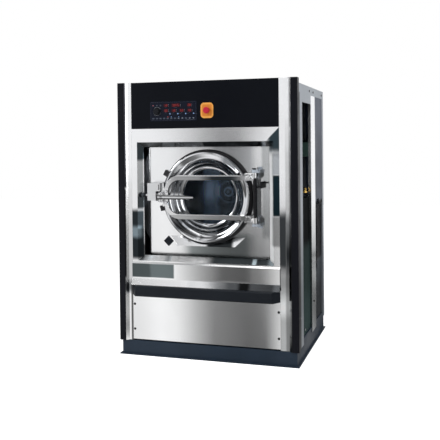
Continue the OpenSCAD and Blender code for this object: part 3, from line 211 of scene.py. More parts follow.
def shade(colour, share):
    """The colour made darker or brighter by a share, with no part above 1."""
    return tuple(min(1.0, c * share) for c in colour)


FACINGS = {"up": ("Z", 1), "down": ("Z", -1), "right": ("X", 1), "left": ("X", -1),
           "front": ("Y", -1)}
FACING_FROM, FACING_TO = 0.20, 0.28  # the normal's part along an axis, from off to fully on
ZONE_WANDER = 0.6  # share of a soft edge by which it wanders in and out
MITRE_SOFT = 0.003


def zone(colour, x=(-FAR, FAR), y=(-FAR, FAR), z=(-FAR, FAR), soft=(0.02, 0.02), facing=None,
         mitre=None):
    """A box in which a piece's tone is multiplied by a colour, or by a number for all three.

    It stands for a reflection or a shadow that this studio lacks. soft is how wide its edges
    fade, across and upright. A mitre cuts it off above the line Z = X + mitre.
    """
    if not isinstance(colour, tuple):
        colour = (colour, colour, colour)
    return {"colour": colour, "X": x, "Y": y, "Z": z, "soft": soft, "facing": facing,
            "mitre": mitre}


def zone_mask(s, area):
    """1 inside a zone and 0 outside it, with soft edges that wander a little."""
    place = s.axes(s.coordinates)
    wave = s.math("MULTIPLY_ADD", s.noise((6, 6, 9), 3, 0.6, (4, 0, 2)),
                  ZONE_WANDER, -ZONE_WANDER / 2)
    across, upright = area["soft"]
    steps = []
    for axis, soft in (("X", across), ("Y", across), ("Z", upright)):
        low, high = area[axis]
        wavy = s.math("MULTIPLY_ADD", wave, soft, place[axis])
        if low > -FAR:
            steps.append((wavy, low - soft / 2, low + soft / 2))
        if high < FAR:
            steps.append((wavy, high + soft / 2, high - soft / 2))
    if area["mitre"] is not None:
        line = s.math("SUBTRACT", place["Z"], place["X"])
        steps.append((line, area["mitre"] + MITRE_SOFT, area["mitre"] - MITRE_SOFT))
    if area["facing"]:
        axis, sign = FACINGS[area["facing"]]
        normal = s.axes(s.add("ShaderNodeTexCoord").outputs["Normal"])
        steps.append((normal[axis], FACING_FROM * sign, FACING_TO * sign))
    mask = 1.0
    for value, start, end in steps:
        mask = s.math("MULTIPLY", s.step(value, start, end), mask)
    return mask


def zoned(s, tone, regions):
    """The tone, multiplied by each region's colour inside that region."""
    for region in regions:
        tone = s.mix(zone_mask(s, region), tone, region["colour"], "MULTIPLY")
    return tone


GRAIN_SKEW = (0.04, 0.07, 0.03)  # small parts that keep the tangent off any face's normal


def grain_direction(s, grain):
    """A tangent across the grain lines, so that reflections smear that way."""
    finest = grain.index(max(grain))
    vector = s.add("ShaderNodeCombineXYZ")
    for axis, part in enumerate(GRAIN_SKEW):
        s.put(vector, axis, 1.0 if axis == finest else part)
    turn = s.add("ShaderNodeVectorTransform", vector_type="VECTOR",
                 convert_from="OBJECT", convert_to="WORLD")
    s.link(vector.outputs[0], turn.inputs[0])
    return turn.outputs[0]


SATIN_LOSS = 0.85  # how much less metallic a satin zone is


def sheet_steel(name, colour, rough=(0.16, 0.30), grain=(3, 3, 900), edge=0.0012, smear=0.6,
                regions=(), satin=None):
    """Brushed sheet: fine grain lines, slow tone changes, faint handling marks, soft edges.

    rough is its least and most roughness, grain the lines a metre along each axis, smear how
    far they draw out reflections, and satin a zone that is dull.
    """
    s = Shader(name)
    lines = s.noise(grain, 4, 0.7)
    cloud = s.noise((3.1, 3.1, 2.3), 3, 0.55)
    marks = s.ramp(s.noise((14, 14, 40), 5, 0.75, (2, 1, 0)), [(0.60, 0.0), (0.78, 1.0)])
    tone = s.ramp(cloud, [(0.30, shade(colour, 0.94)), (0.72, shade(colour, 1.05))])
    tone = s.mix(s.math("MULTIPLY", lines, 0.16), tone, shade(colour, 0.72))
    tone = zoned(s, tone, regions)
    low, high = rough
    dull = s.ramp(s.math("MULTIPLY_ADD", marks, 0.25, s.math("MULTIPLY", lines, 0.75)),
                  [(0.2, low), (0.9, high)])
    metal = s.math("MULTIPLY_ADD", zone_mask(s, satin), -SATIN_LOSS, 1.0) if satin else 1.0
    return s.surface(Base_Color=tone, Metallic=metal, Roughness=dull, Anisotropic=smear,
                     Tangent=grain_direction(s, grain),
                     Normal=s.bump(lines, 0.06, s.bevel(edge)))


def coated(name, colour, rough=(0.3, 0.45), peel=260, wear=None, metallic=0.0, shine=0.5,
           regions=()):
    """Paint, film or moulded plastic: orange peel, slow tone changes, and wear on it."""
    s = Shader(name)
    cloud = s.noise((5, 5, 4), 4, 0.6)
    tone = s.ramp(cloud, [(0.3, shade(colour, 0.88)), (0.7, shade(colour, 1.12))])
    if wear:
        worn = s.ramp(s.noise((35, 35, 35), 5, 0.7), [(0.64, 0.0), (0.74, 1.0)])
        tone = s.mix(s.math("MULTIPLY", worn, 0.5), tone, wear)
    tone = zoned(s, tone, regions)
    low, high = rough
    dull = s.ramp(s.noise((9, 9, 9), 4, 0.65, (3, 0, 1)), [(0.3, low), (0.75, high)])
    normal = s.bump(s.noise((peel, peel, peel), 2, 0.5), 0.06, s.bevel(EDGE_ROUND))
    return s.surface(Base_Color=tone, Metallic=metallic, Roughness=dull,
                     Specular_IOR_Level=shine, Normal=normal)


def turned_metal(name, colour, x, z, rings=900, rough=(0.06, 0.16), regions=()):
    """Polished metal with fine turning rings about an axis along Y."""
    s = Shader(name)
    ring_place = s.add("ShaderNodeCombineXYZ")
    s.put(ring_place, "X", s.radius_from(x, z))
    ring_noise = s.add("ShaderNodeTexNoise")
    s.put(ring_noise, "Vector", ring_place.outputs[0])
    s.put(ring_noise, "Scale", float(rings))
    s.put(ring_noise, "Detail", 3.0)
    fine = ring_noise.outputs["Fac"]
    cloud = s.noise((6, 6, 6), 3, 0.5)
    tone = s.ramp(cloud, [(0.3, shade(colour, 0.9)), (0.7, shade(colour, 1.05))])
    tone = zoned(s, tone, regions)
    low, high = rough
    return s.surface(Base_Color=tone, Metallic=1.0,
                     Roughness=s.ramp(fine, [(0.3, low), (0.8, high)]),
                     Normal=s.bump(fine, 0.05, s.bevel(0.0012)))


BACK_WALL_Y = (0.03, 0.05)  # where the drum's side turns into its back wall
# Painted highlight: a lit band over a rib of the drum's back wall, with a painted glint inside it
RIB_HIGHLIGHT_BAND = zone(1, x=(-0.165, -0.075), soft=(0.035, 0.02))
RIB_HIGHLIGHT_TONE = (6.0, 6.2, 6.6)
GLINT_X, GLINT_Z = -0.115, 0.855
GLINT_EDGE, GLINT_CORE = 0.095, 0.010  # radii between which the glint fades in
GLINT_TONE = (3.4, 3.2, 3.1)
GLINT_SHARE = 0.9


def drum_metal(name, colour, hub, x, z):
    """Drum sheet seen in the dark: painted light and shade of hub rings on its back wall, a
    painted highlight band over a rib and a painted glint.
    """
    s = Shader(name)
    lines = s.noise((200, 3, 200), 4, 0.7)
    cloud = s.noise((7, 7, 5), 4, 0.65)
    tone = s.ramp(cloud, [(0.30, shade(colour, 0.6)), (0.75, shade(colour, 1.4))])
    # Painted light and shade of the hub's rings, on the back wall only
    rings = s.ramp(s.math("MULTIPLY", s.radius_from(x, z), 4.0), hub)
    on_wall = s.step(s.axes(s.coordinates)["Y"], *BACK_WALL_Y)
    tone = s.mix(on_wall, tone, s.mix(1.0, tone, rings, "MULTIPLY"))
    # Painted highlight band over the rib, then a painted glint within it
    rib_highlight = s.math("MULTIPLY", zone_mask(s, RIB_HIGHLIGHT_BAND), on_wall)
    tone = s.mix(rib_highlight, tone, RIB_HIGHLIGHT_TONE, "MULTIPLY")
    glint = s.step(s.radius_from(GLINT_X, GLINT_Z), GLINT_EDGE, GLINT_CORE)
    glint = s.math("MULTIPLY", s.math("MULTIPLY", glint, rib_highlight), GLINT_SHARE)
    tone = s.mix(glint, tone, GLINT_TONE, "MULTIPLY")
    return s.surface(Base_Color=tone, Metallic=0.45,
                     Roughness=s.ramp(lines, [(0.2, 0.3), (0.9, 0.45)]),
                     Normal=s.bump(lines, 0.06, s.bevel(EDGE_ROUND)))


def painted_highlight_bar(name, colour, axis_z, half, stops):
    """Polished bar lying across the front at axis_z, with a painted highlight line between darker
    painted shade at its edges.
    """
    s = Shader(name)
    height = s.math("MULTIPLY_ADD", s.axes(s.coordinates)["Z"], 0.5 / half,
                    0.5 - 0.5 * axis_z / half)
    lines = s.noise((3, 500, 500), 3, 0.6)
    # Painted highlight and shade across the bar, from its lower to its upper edge
    highlight_bands = s.ramp(height, [(at, shade(colour, share)) for at, share in stops])
    return s.surface(Base_Color=s.mix(0.95, shade(colour, 0.5), highlight_bands), Metallic=1.0,
                     Roughness=s.ramp(lines, [(0.3, 0.08), (0.8, 0.18)]),
                     Normal=s.bump(lines, 0.05, s.bevel(0.0008)))


def rough_casting(name, colour):
    """Painted casting with a coarse skin."""
    s = Shader(name)
    grain = s.noise((420, 420, 420), 4, 0.7)
    cloud = s.noise((12, 12, 12), 3, 0.5)
    tone = s.ramp(cloud, [(0.3, shade(colour, 0.75)), (0.7, shade(colour, 1.2))])
    return s.surface(Base_Color=tone, Metallic=0.6,
                     Roughness=s.ramp(grain, [(0.2, 0.45), (0.8, 0.7)]),
                     Normal=s.bump(grain, 0.35, s.bevel(0.0015), depth=0.0008))


def soft_rubber(name, colour):
    """Dull rubber, paler where dust lies on it."""
    s = Shader(name)
    grain = s.noise((700, 700, 700), 3, 0.6)
    dust = s.noise((18, 18, 18), 5, 0.7)
    return s.surface(Base_Color=s.ramp(dust, [(0.35, colour), (0.85, shade(colour, 2.2))]),
                     Roughness=s.ramp(dust, [(0.3, 0.45), (0.8, 0.7)]),
                     Normal=s.bump(grain, 0.2, s.bevel(0.0012)))


PLAIN_SHARE = 0.84  # how much of the glass lets light straight through, unbent


def clear_glass(name):
    """Thick pressed glass: clear, with a faint blue cast and a film of streaks."""
    s = Shader(name)
    film = s.noise((30, 30, 9), 5, 0.7)
    glass = s.shader("ShaderNodeBsdfPrincipled", Base_Color=(0.93, 0.97, 1.0),
                     Transmission_Weight=1.0, IOR=1.46,
                     Roughness=s.ramp(film, [(0.4, 0.0), (0.9, 0.05)]),
                     Normal=s.bump(film, 0.02, depth=0.001))
    clear = s.shader("ShaderNodeBsdfTransparent", Color=(0.86, 0.91, 0.95))
    rays = s.rays()
    unbent = s.math("MAXIMUM", rays["Is Shadow Ray"], rays["Is Diffuse Ray"])
    s.show(s.blend(s.math("MAXIMUM", unbent, PLAIN_SHARE), glass, clear))
    return s.material


def lit(name, colour, strength):
    """A lamp or lit segment behind film."""
    s = Shader(name)
    glow = s.ramp(s.noise((900, 900, 900), 2, 0.5), [(0.2, shade(colour, 0.75)), (0.8, colour)])
    return s.surface(Base_Color=shade(colour, 0.3), Roughness=0.3, Emission_Color=glow,
                     Emission_Strength=strength)


# Zones of the pieces, from the photograph's bands and shades

NEAR_BLACK = (0.02, 0.02, 0.024)
# Surround of the door recess: its left bevel and its lip, its left reveal, the underside of
# its top, its ledge, and the bands down its right strip
SURROUND_REGIONS = [
    zone((0.024, 0.030, 0.034), x=(-FAR, -0.360), z=(0.520, 0.785), soft=(0.01, 0.03)),
    zone((10.0, 10.0, 9.8), x=(-FAR, -0.372), z=(0.635, 0.695), soft=(0.02, 0.03)),
    zone((4.5, 4.6, 4.7), x=(-0.388, -0.362), z=(0.690, 0.785), soft=(0.004, 0.03)),
    zone((5.5, 5.5, 5.6), x=(-0.3640, -0.3588), z=(0.785, 1.09), soft=(0.002, 0.02)),
    zone((16.0, 16.0, 16.5), x=(-0.3640, -0.3588), z=(0.60, 0.785), soft=(0.002, 0.02)),
    zone((0.04, 0.05, 0.055), x=(-FAR, 0), z=(1.048, FAR), soft=(0.01, 0.03), facing="right"),
    zone((0.45, 0.46, 0.46), x=(-FAR, 0), z=(0.865, 1.048), soft=(0.01, 0.03), facing="right"),
    zone((0.07, 0.08, 0.085), x=(-FAR, 0), z=(0.785, 0.865), soft=(0.01, 0.03), facing="right"),
    zone((0.22, 0.23, 0.24), x=(-FAR, -0.02), z=(1.10, FAR), soft=(0.02, 0.02), facing="down"),
    zone((0.035, 0.04, 0.042), x=(-0.02, 0.305), z=(1.10, FAR), soft=(0.02, 0.02), facing="down"),
    zone((0.24, 0.26, 0.27), x=(-FAR, -0.340), z=(0, 0.56), soft=(0.08, 0.02), facing="up"),
    zone((0.55, 0.57, 0.58), x=(-0.235, -0.175), z=(0, 0.56), soft=(0.04, 0.02), facing="up"),
    zone((0.022, 0.026, 0.028), x=(-0.02, FAR), z=(0, 0.56), soft=(0.12, 0.02), facing="up"),
    zone(2.3, x=(-0.205, -0.075), z=(0, 0.56), soft=(0.03, 0.02), facing="up"),
    zone(12.0, x=(0.247, 0.268), z=(0, 0.56), soft=(0.010, 0.02), facing="up"),
    zone(6.0, x=(0.335, FAR), z=(0, 0.56), soft=(0.03, 0.02), facing="up"),
    zone((0.04, 0.06, 0.07), x=(0.335, FAR), z=(1.085, FAR), soft=(0.03, 0.06), mitre=0.824),
    zone((0.50, 0.52, 0.54), x=(0.355, FAR), z=(0.973, 1.085), soft=(0.01, 0.02)),
    zone((0.012, 0.026, 0.034), x=(0.360, FAR), z=(0.766, 0.973), soft=(0.01, 0.008)),
    zone(0.42, x=(0.355, FAR), z=(0.610, 0.766), soft=(0.01, 0.02)),
]
# The bevel at the right of the recess, which is dull in the photograph
SATIN_BEVEL = zone(1, x=(0.2, FAR), z=(0.53, 1.115), soft=(0.01, 0.03), facing="left")
# Door plate: shade of the door, and beside the hinge post
PLATE_REGIONS = [
    zone((0.70, 0.71, 0.72), x=(0.02, 0.238), z=(0.95, FAR), soft=(0.05, 0.10)),
    zone((0.60, 0.61, 0.61), x=(0.286, FAR), z=(0.64, FAR), soft=(0.02, 0.05)),
    zone((0.38, 0.41, 0.41), x=(-0.135, 0.225), z=(0.50, 0.66), soft=(0.08, 0.06)),
]
# Lock box: dark left end
LOCK_REGIONS = [zone((0.10, 0.11, 0.12), x=(-FAR, -0.339), soft=(0.004, 0.02))]
# Yoke bars: darker middles, and the shade of the lever
YOKE_REGIONS = [
    zone(0.50, x=(-0.215, FAR), z=(0.90, 0.967), soft=(0.10, 0.002)),
    zone((0.10, 0.12, 0.13), x=(0.0, 0.165), z=(0.90, 0.967), soft=(0.09, 0.002)),
    zone(0.62, z=(-FAR, 0.760), soft=(0.10, 0.002)),
    zone((0.30, 0.31, 0.31), x=(-FAR, -0.262), z=(0.80, 0.92), soft=(0.004, 0.006)),
]
# Hinge post: bright ends, a dark left side and a bright line down its front
HINGE_REGIONS = [
    zone((4.5, 4.6, 4.8), z=(0.985, FAR), soft=(0.01, 0.01)),
    zone((4.5, 4.6, 4.8), z=(-FAR, 0.722), soft=(0.01, 0.01)),
    zone(0.12, x=(-FAR, 0.266), z=(0.735, 0.975), soft=(0.004, 0.01)),
    zone((2.4, 2.4, 2.5), x=(0.274, 0.280), z=(0.735, 0.975), soft=(0.004, 0.01)),
]
# Painted dark reflections in the door's spun dish
DISH_REFLECTIONS = [
    zone((0.22, 0.23, 0.24), x=(-0.200, -0.030), z=(0.668, 0.756), soft=(0.06, 0.04)),
    zone((0.30, 0.31, 0.32), x=(-0.215, -0.165), z=(0.870, 0.960), soft=(0.03, 0.03)),
    zone((0.45, 0.46, 0.47), x=(-0.225, -0.130), z=(0.765, 0.840), soft=(0.04, 0.03)),
    zone((0.34, 0.35, 0.36), x=(0.075, 0.170), z=(0.985, 1.075), soft=(0.05, 0.05)),
    zone((0.62, 0.63, 0.64), x=(0.030, 0.180), z=(0.625, 0.735), soft=(0.06, 0.05)),
]
# Leading edge of the side's front post, which stands for the deeper return of the pillar
POST_EDGE = zone(NEAR_BLACK, y=(-FAR, -0.328), soft=(0.004, 0.02))
# Bright centre post of the side: darker towards the floor
POST_REGIONS = [zone((0.36, 0.38, 0.385), z=(-FAR, 0.70), soft=(0.02, 0.30))]
# Rear column of the side, in bands
REAR_REGIONS = [
    zone((0.06, 0.065, 0.07), z=(0.45, 0.795), soft=(0.02, 0.02)),
    zone((0.50, 0.55, 0.55), z=(-FAR, 0.45), soft=(0.02, 0.05)),
    zone(0.45, z=(-FAR, 0.33), soft=(0.02, 0.12)),
    zone((1.80, 1.80, 1.85), z=(0.795, FAR), soft=(0.02, 0.02)),
    zone(0.72, z=(0.795, 1.12), soft=(0.02, 0.3)),
]
# Recessed lower panel of the side, in bands
RECESS_REGIONS = [
    zone((0.04, 0.05, 0.055), z=(0.585, FAR), soft=(0.02, 0.08)),
    zone((0.80, 0.85, 0.83), z=(0.30, 0.585), soft=(0.02, 0.16)),
    zone(1.30, z=(-FAR, 0.36), soft=(0.02, 0.16)),
]
# Shade round the stop button
STOP_REGIONS = [zone((0.80, 0.60, 0.42), x=(-0.0148, 0.0388), z=(1.2825, 1.3435),
                     soft=(0.006, 0.006))]
# Drip lip: the door's reflection
LIP_REGIONS = [zone((0.03, 0.034, 0.036), x=(-0.012, 0.128), soft=(0.02, 0.02))]
# Apron: bands on its face, and on the ledge under it
APRON_REGIONS = [
    zone((0.16, 0.19, 0.195), x=(-FAR, -0.180), z=(0.423, 0.4965), soft=(0.008, 0.006),
         facing="front"),
    zone(0.55, x=(-FAR, -0.315), z=(0.423, 0.4965), soft=(0.02, 0.006), facing="front"),
    zone(1.7, x=(0.235, FAR), z=(0.423, FAR), soft=(0.07, 0.006), facing="front"),
    zone(1.5, x=(-FAR, -0.13), z=(0.38, 0.424), soft=(0.14, 0.004), facing="up"),
    zone((0.10, 0.105, 0.11), x=(0.050, FAR), z=(0.38, 0.424), soft=(0.14, 0.004), facing="up"),
    zone(0.10, x=(0.175, 0.235), z=(0.38, 0.424), soft=(0.03, 0.004), facing="up"),
    zone(3.0, x=(0.365, FAR), z=(0.38, 0.424), soft=(0.03, 0.004), facing="up"),
    zone(0.60, x=(0.060, 0.262), z=(0.423, FAR), soft=(0.08, 0.01), facing="front"),
]
# Left trim strip: a dark outer line, which stands for the pillar's missing width, and bands
LEFT_STRIP_REGIONS = [
    zone(NEAR_BLACK, x=(-FAR, -0.4496), z=(0.90, FAR), soft=(0.003, 0.02)),
    zone(NEAR_BLACK, x=(-FAR, -0.4525), z=(0.42, 0.90), soft=(0.003, 0.02)),
    zone((0.30, 0.31, 0.32), z=(0.332, 0.395), soft=(0.1, 0.05)),
    zone(1.9, x=(-FAR, -0.431), z=(-FAR, 0.335), soft=(0.006, 0.05)),
    zone(0.20, x=(-0.431, FAR), z=(-FAR, 0.395), soft=(0.006, 0.05)),
    zone(0.74, z=(-FAR, 0.84), soft=(0.1, 0.4)),
]
# Right trim strip: bands, and a darker outer half
RIGHT_STRIP_REGIONS = [
    zone((0.06, 0.065, 0.07), x=(-FAR, 0.428), z=(0.490, 0.790), soft=(0.008, 0.07)),
    zone((0.62, 0.63, 0.63), z=(-FAR, 0.480), soft=(0.1, 0.08)),
    zone(0.74, z=(0.39, 0.50), soft=(0.1, 0.06)),
    zone(1.75, z=(0.262, 0.345), soft=(0.1, 0.08)),
    zone(0.72, x=(0.426, FAR), z=(-FAR, 1.15), soft=(0.010, 0.3)),
    zone(0.38, x=(0.448, FAR), z=(-FAR, 1.10), soft=(0.006, 0.2)),
    zone(0.72, x=(0.424, FAR), z=(-FAR, 0.47), soft=(0.012, 0.1)),
    zone((0.35, 0.36, 0.37), x=(0.428, FAR), z=(0.49, 0.76), soft=(0.008, 0.08)),
    zone((0.15, 0.16, 0.17), x=(0.428, FAR), z=(0.49, 0.65), soft=(0.008, 0.14)),
]


# Materials

def middle(corners, axis):
    """Where the middle between two corners is along an axis."""
    low, high = corners
    return (getattr(low, axis) + getattr(high, axis)) / 2


DOOR_X = middle(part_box("door_ring"), "x")
DOOR_Z = middle(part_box("door_ring"), "z")
LEVER_Z = middle(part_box("latch_lever"), "z")
LEVER_HALF = 0.0115
# Axes along Y of the turning rings on other pieces
HINGE_X, HINGE_Z = 0.27, 0.85
VALVES_X, VALVES_Z = 0.255, 1.342
FITTING_X, FITTING_Z = 0.46, 0.87

# Painted light and shade of the hub's rings on the drum's back wall: brightness against four
# times the radius from its axis in metres
HUB_RING_LIGHT = [(0.0, 4.5), (0.028, 3.4), (0.040, 0.4), (0.070, 0.5), (0.085, 5.0), (0.110, 4.2),
             (0.130, 0.6), (0.20, 0.7), (0.23, 2.2), (0.26, 2.4), (0.29, 0.8), (0.38, 0.7),
             (0.48, 1.6), (1.0, 1.3)]
# Painted highlight and shade of the latch lever: brightness from its lower to its upper edge
LEVER_HIGHLIGHT_BANDS = [(0.0, 0.05), (0.2, 0.08), (0.36, 0.5), (0.48, 1.0), (0.60, 0.9), (0.74, 0.10),
               (0.88, 0.15), (1.0, 0.5)]
STAINLESS = (0.94, 0.945, 0.95)
ZINC = (0.44, 0.48, 0.52)
SCREW_STEEL = (0.74, 0.74, 0.76)
BAR_GRAIN = (2, 400, 400)
BAR_EDGE = 0.002


def front_sheet(name, regions=(), rough=(0.13, 0.24), satin=None):
    """Bright stainless sheet of the machine's front."""
    return sheet_steel(name, STAINLESS, rough, smear=0.8, regions=regions, satin=satin)


MATERIALS = {
    "zinc_sheet": sheet_steel("zinc_sheet", ZINC, (0.30, 0.46), (3, 500, 3)),
    "bright_post": sheet_steel("bright_post", STAINLESS, (0.14, 0.24), (500, 500, 3),
                               regions=POST_REGIONS),
    "fastener_steel": turned_metal("fastener_steel", SCREW_STEEL, 0, 0, 1500, (0.12, 0.25)),
    "stainless_sheet": front_sheet("stainless_sheet"),
    "tub_steel": sheet_steel("tub_steel", (0.42, 0.44, 0.47), (0.28, 0.45), (3, 300, 3)),
    "gasket_rubber": soft_rubber("gasket_rubber", (0.009, 0.009, 0.011)),
    "drum_steel": drum_metal("drum_steel", (0.13, 0.155, 0.19), HUB_RING_LIGHT, DOOR_X, DOOR_Z),
    "shaft_steel": turned_metal("shaft_steel", (0.55, 0.56, 0.58), DOOR_X, DOOR_Z, 1200,
                                (0.15, 0.3)),
    "cast_grey": rough_casting("cast_grey", (0.13, 0.14, 0.15)),
    "belt_rubber": soft_rubber("belt_rubber", (0.014, 0.014, 0.015)),
    "door_chrome": turned_metal("door_chrome", (0.80, 0.81, 0.83), DOOR_X, DOOR_Z, 700,
                                (0.05, 0.12), regions=DISH_REFLECTIONS),
    "door_glass": clear_glass("door_glass"),
    "yoke_steel": sheet_steel("yoke_steel", (0.44, 0.44, 0.445), (0.14, 0.24), BAR_GRAIN,
                              BAR_EDGE),
    "lock_metal": sheet_steel("lock_metal", (0.80, 0.81, 0.82), (0.3, 0.42), (3, 3, 500),
                              regions=LOCK_REGIONS),
    "valve_brass": turned_metal("valve_brass", (0.66, 0.50, 0.24), VALVES_X, VALVES_Z, 1300,
                                (0.16, 0.3)),
}
for slot, colour, rough, look in [
    ("base_paint", (0.019, 0.033, 0.054), (0.40, 0.55),
     {"wear": (0.04, 0.06, 0.08), "shine": 0.25}),
    ("recess_paint", (0.030, 0.050, 0.048), (0.72, 0.86),
     {"shine": 0.05, "regions": RECESS_REGIONS}),
    ("grey_sheet", (0.120, 0.130, 0.150), (0.6, 0.75),
     {"metallic": 0.3, "shine": 0.12, "regions": REAR_REGIONS}),
    ("pillar_paint", (0.0085, 0.009, 0.0125), (0.30, 0.42), {"shine": 0.08}),
    ("fascia_gloss", (0.0048, 0.0058, 0.0085), (0.14, 0.24), {"peel": 90, "shine": 0.06}),
    ("panel_film", (0.006, 0.008, 0.017), (0.16, 0.26), {"shine": 0.12}),
    ("key_film", (0.05, 0.06, 0.085), (0.3, 0.4), {"shine": 0.2}),
    ("display_lens", (0.050, 0.007, 0.012), (0.08, 0.15), {"peel": 60, "shine": 0.15}),
    ("knob_plastic", (0.005, 0.006, 0.009), (0.3, 0.42), {"shine": 0.2}),
    ("stop_yellow", (0.95, 0.42, 0.085), (0.25, 0.35), {"shine": 0.3, "regions": STOP_REGIONS}),
    ("stop_red", (0.55, 0.016, 0.045), (0.25, 0.35), {"shine": 0.3}),
    ("bumper_black", (0.013, 0.016, 0.021), (0.36, 0.5),
     {"wear": (0.022, 0.025, 0.03), "shine": 0.12}),
    ("bracket_green", (0.030, 0.060, 0.052), (0.40, 0.55), {"shine": 0.2}),
    ("motor_paint", (0.045, 0.080, 0.130), (0.35, 0.5), {}),
    ("hinge_black", (0.010, 0.010, 0.012), (0.3, 0.45), {"shine": 0.2}),
    ("hinge_grey", (0.085, 0.092, 0.102), (0.28, 0.4), {"metallic": 0.6}),
    ("pipe_plastic", (0.030, 0.048, 0.085), (0.35, 0.45), {"shine": 0.3}),
    ("box_paint", (0.42, 0.43, 0.42), (0.4, 0.55), {}),
]:
    MATERIALS[slot] = coated(slot, colour, rough, **look)

# Nodes that don't take the plain material of their slot
NODE_MATERIALS = {
    "latch_lever": painted_highlight_bar("lever_steel", (0.82, 0.83, 0.84), LEVER_Z, LEVER_HALF,
                              LEVER_HIGHLIGHT_BANDS),
    "door_yoke": sheet_steel("yoke_bar", (0.84, 0.845, 0.85), (0.12, 0.22), BAR_GRAIN, BAR_EDGE,
                             regions=YOKE_REGIONS),
    "front_posts": sheet_steel("front_post_steel", ZINC, (0.30, 0.46), (3, 500, 3),
                               regions=[POST_EDGE], satin=POST_EDGE),
    "hinge_post": coated("post_steel", (0.14, 0.15, 0.16), (0.22, 0.34), metallic=0.85,
                         regions=HINGE_REGIONS),
    "panel_screws": sheet_steel("screw_steel", SCREW_STEEL,
                                regions=[zone(0.03, facing="front")]),
    "hinge_knuckles": turned_metal("knuckle_chrome", (0.95, 0.96, 0.98), HINGE_X, HINGE_Z, 400,
                                   (0.03, 0.08)),
    "front_plate": front_sheet("plate_steel", PLATE_REGIONS),
    "surround_frame": front_sheet("surround_steel", SURROUND_REGIONS, satin=SATIN_BEVEL),
    "drip_lip": front_sheet("lip_steel", LIP_REGIONS),
    "apron": front_sheet("apron_steel", APRON_REGIONS, (0.12, 0.2)),
    "left_trim_strip": front_sheet("left_strip_steel", LEFT_STRIP_REGIONS, (0.12, 0.2)),
    "right_trim_strip": front_sheet("right_strip_steel", RIGHT_STRIP_REGIONS, (0.12, 0.2)),
}


def smooth_curves(obj, angle=math.radians(28)):
    """Smooth shading across the facets of curved faces, with sharp edges kept."""
    for polygon in obj.data.polygons:
        polygon.use_smooth = True
    weld = obj.modifiers.new("weld", "WELD")
    weld.merge_threshold = 1e-6
    split = obj.modifiers.new("sharp", "EDGE_SPLIT")
    split.split_angle = angle
    split.use_edge_sharp = False


for part in frame["record"]["subparts"]:
    node = NODES[part["node"]]
    node.data.materials.clear()
    node.data.materials.append(NODE_MATERIALS.get(part["node"], MATERIALS[part["material_slot"]]))
    smooth_curves(node)


# Keypad trim: lit segments, lamps and printed marks, each a thin raised piece on its plate.
# Places on the keypad are (x, z) in metres.

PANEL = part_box("control_panel")
PANEL_X = middle(PANEL, "x")
PANEL_Z = middle(PANEL, "z")
FILM_Y = PANEL[0].y
LENS_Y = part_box("display_windows")[0].y
KEY_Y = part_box("control_keys")[0].y
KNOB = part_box("control_knob")
KNOB_X = middle(KNOB, "x")
KNOB_Z = middle(KNOB, "z")
KNOB_RADIUS = (KNOB[1].x - KNOB[0].x) / 2

SQUARE = ((-1, -1), (1, -1), (1, 1), (-1, 1))
PRINT_RISE = 0.0002
SEGMENT_RISE = 0.0003
SEGMENT_WIDTH = 0.0013
# Which of the seven segments each figure lights, and each segment's ends: x in widths of a
# figure, z in half heights
SEGMENTS = {"0": "abcdef", "1": "bc", "2": "abged", "3": "abgcd", "4": "fgbc", "5": "afgcd",
            "6": "afgedc", "7": "abc", "8": "abcdefg", "9": "abcdfg"}
SEGMENT_ENDS = {"a": ((0, 2), (1, 2)), "b": ((1, 2), (1, 1)), "c": ((1, 1), (1, 0)),
                "d": ((0, 0), (1, 0)), "e": ((0, 1), (0, 0)), "f": ((0, 2), (0, 1)),
                "g": ((0, 1), (1, 1))}


def trim_piece(name, mesh_builder, material, body="cabinet"):
    """One mesh piece made by mesh_builder(bmesh), riding on a body."""
    bm = bmesh.new()
    mesh_builder(bm)
    bmesh.ops.recalc_face_normals(bm, faces=bm.faces)
    mesh = bpy.data.meshes.new(name)
    bm.to_mesh(mesh)
    bm.free()
    obj = bpy.data.objects.new(name, mesh)
    bpy.context.scene.collection.objects.link(obj)
    mesh.materials.append(material)
    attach(obj, body)


def walls(bm, rows):
    """Four-sided faces between rings of vertices of one length."""
    for low, high in zip(rows, rows[1:]):
        for i in range(len(low)):
            j = (i + 1) % len(low)
            bm.faces.new((low[i], low[j], high[j], high[i]))


def circle(count):
    """Angles spread evenly over a full turn."""
    return [2 * math.pi * i / count for i in range(count)]


def raised(bm, outline, y, height, inset=0.8):
    """Closed low block over a plate at y, from an outline, narrower at its front."""
    cx = sum(p[0] for p in outline) / len(outline)
    cz = sum(p[1] for p in outline) / len(outline)
    back = [bm.verts.new((x, y, z)) for x, z in outline]
    front = [bm.verts.new((cx + (x - cx) * inset, y - height, cz + (z - cz) * inset))
             for x, z in outline]
    bm.faces.new(back)
    bm.faces.new(list(reversed(front)))
    walls(bm, [back, front])


def bar(bm, start, end, width, y, height=PRINT_RISE):
    """Bar with pointed ends from start to end."""
    a, b = Vector(start), Vector(end)
    along = (b - a).normalized()
    side = Vector((-along.y, along.x)) * width / 2
    tip = along * width / 2
    corners = (a, a + tip + side, b - tip + side, b, b - tip - side, a + tip - side)
    raised(bm, [tuple(corner) for corner in corners], y, height)


def dome(bm, x, z, radius, y, height, turns=20, rings=5):
    """Low round lens, closed at the back."""
    rows = []
    for ring in range(rings):
        angle = math.pi / 2 * ring / rings
        reach, rise = radius * math.cos(angle), height * math.sin(angle)
        rows.append([bm.verts.new((x + reach * math.cos(t), y - rise, z + reach * math.sin(t)))
                     for t in circle(turns)])
    top = bm.verts.new((x, y - height, z))
    bm.faces.new(rows[0])
    walls(bm, rows)
    for i in range(turns):
        bm.faces.new((rows[-1][i], rows[-1][(i + 1) % turns], top))


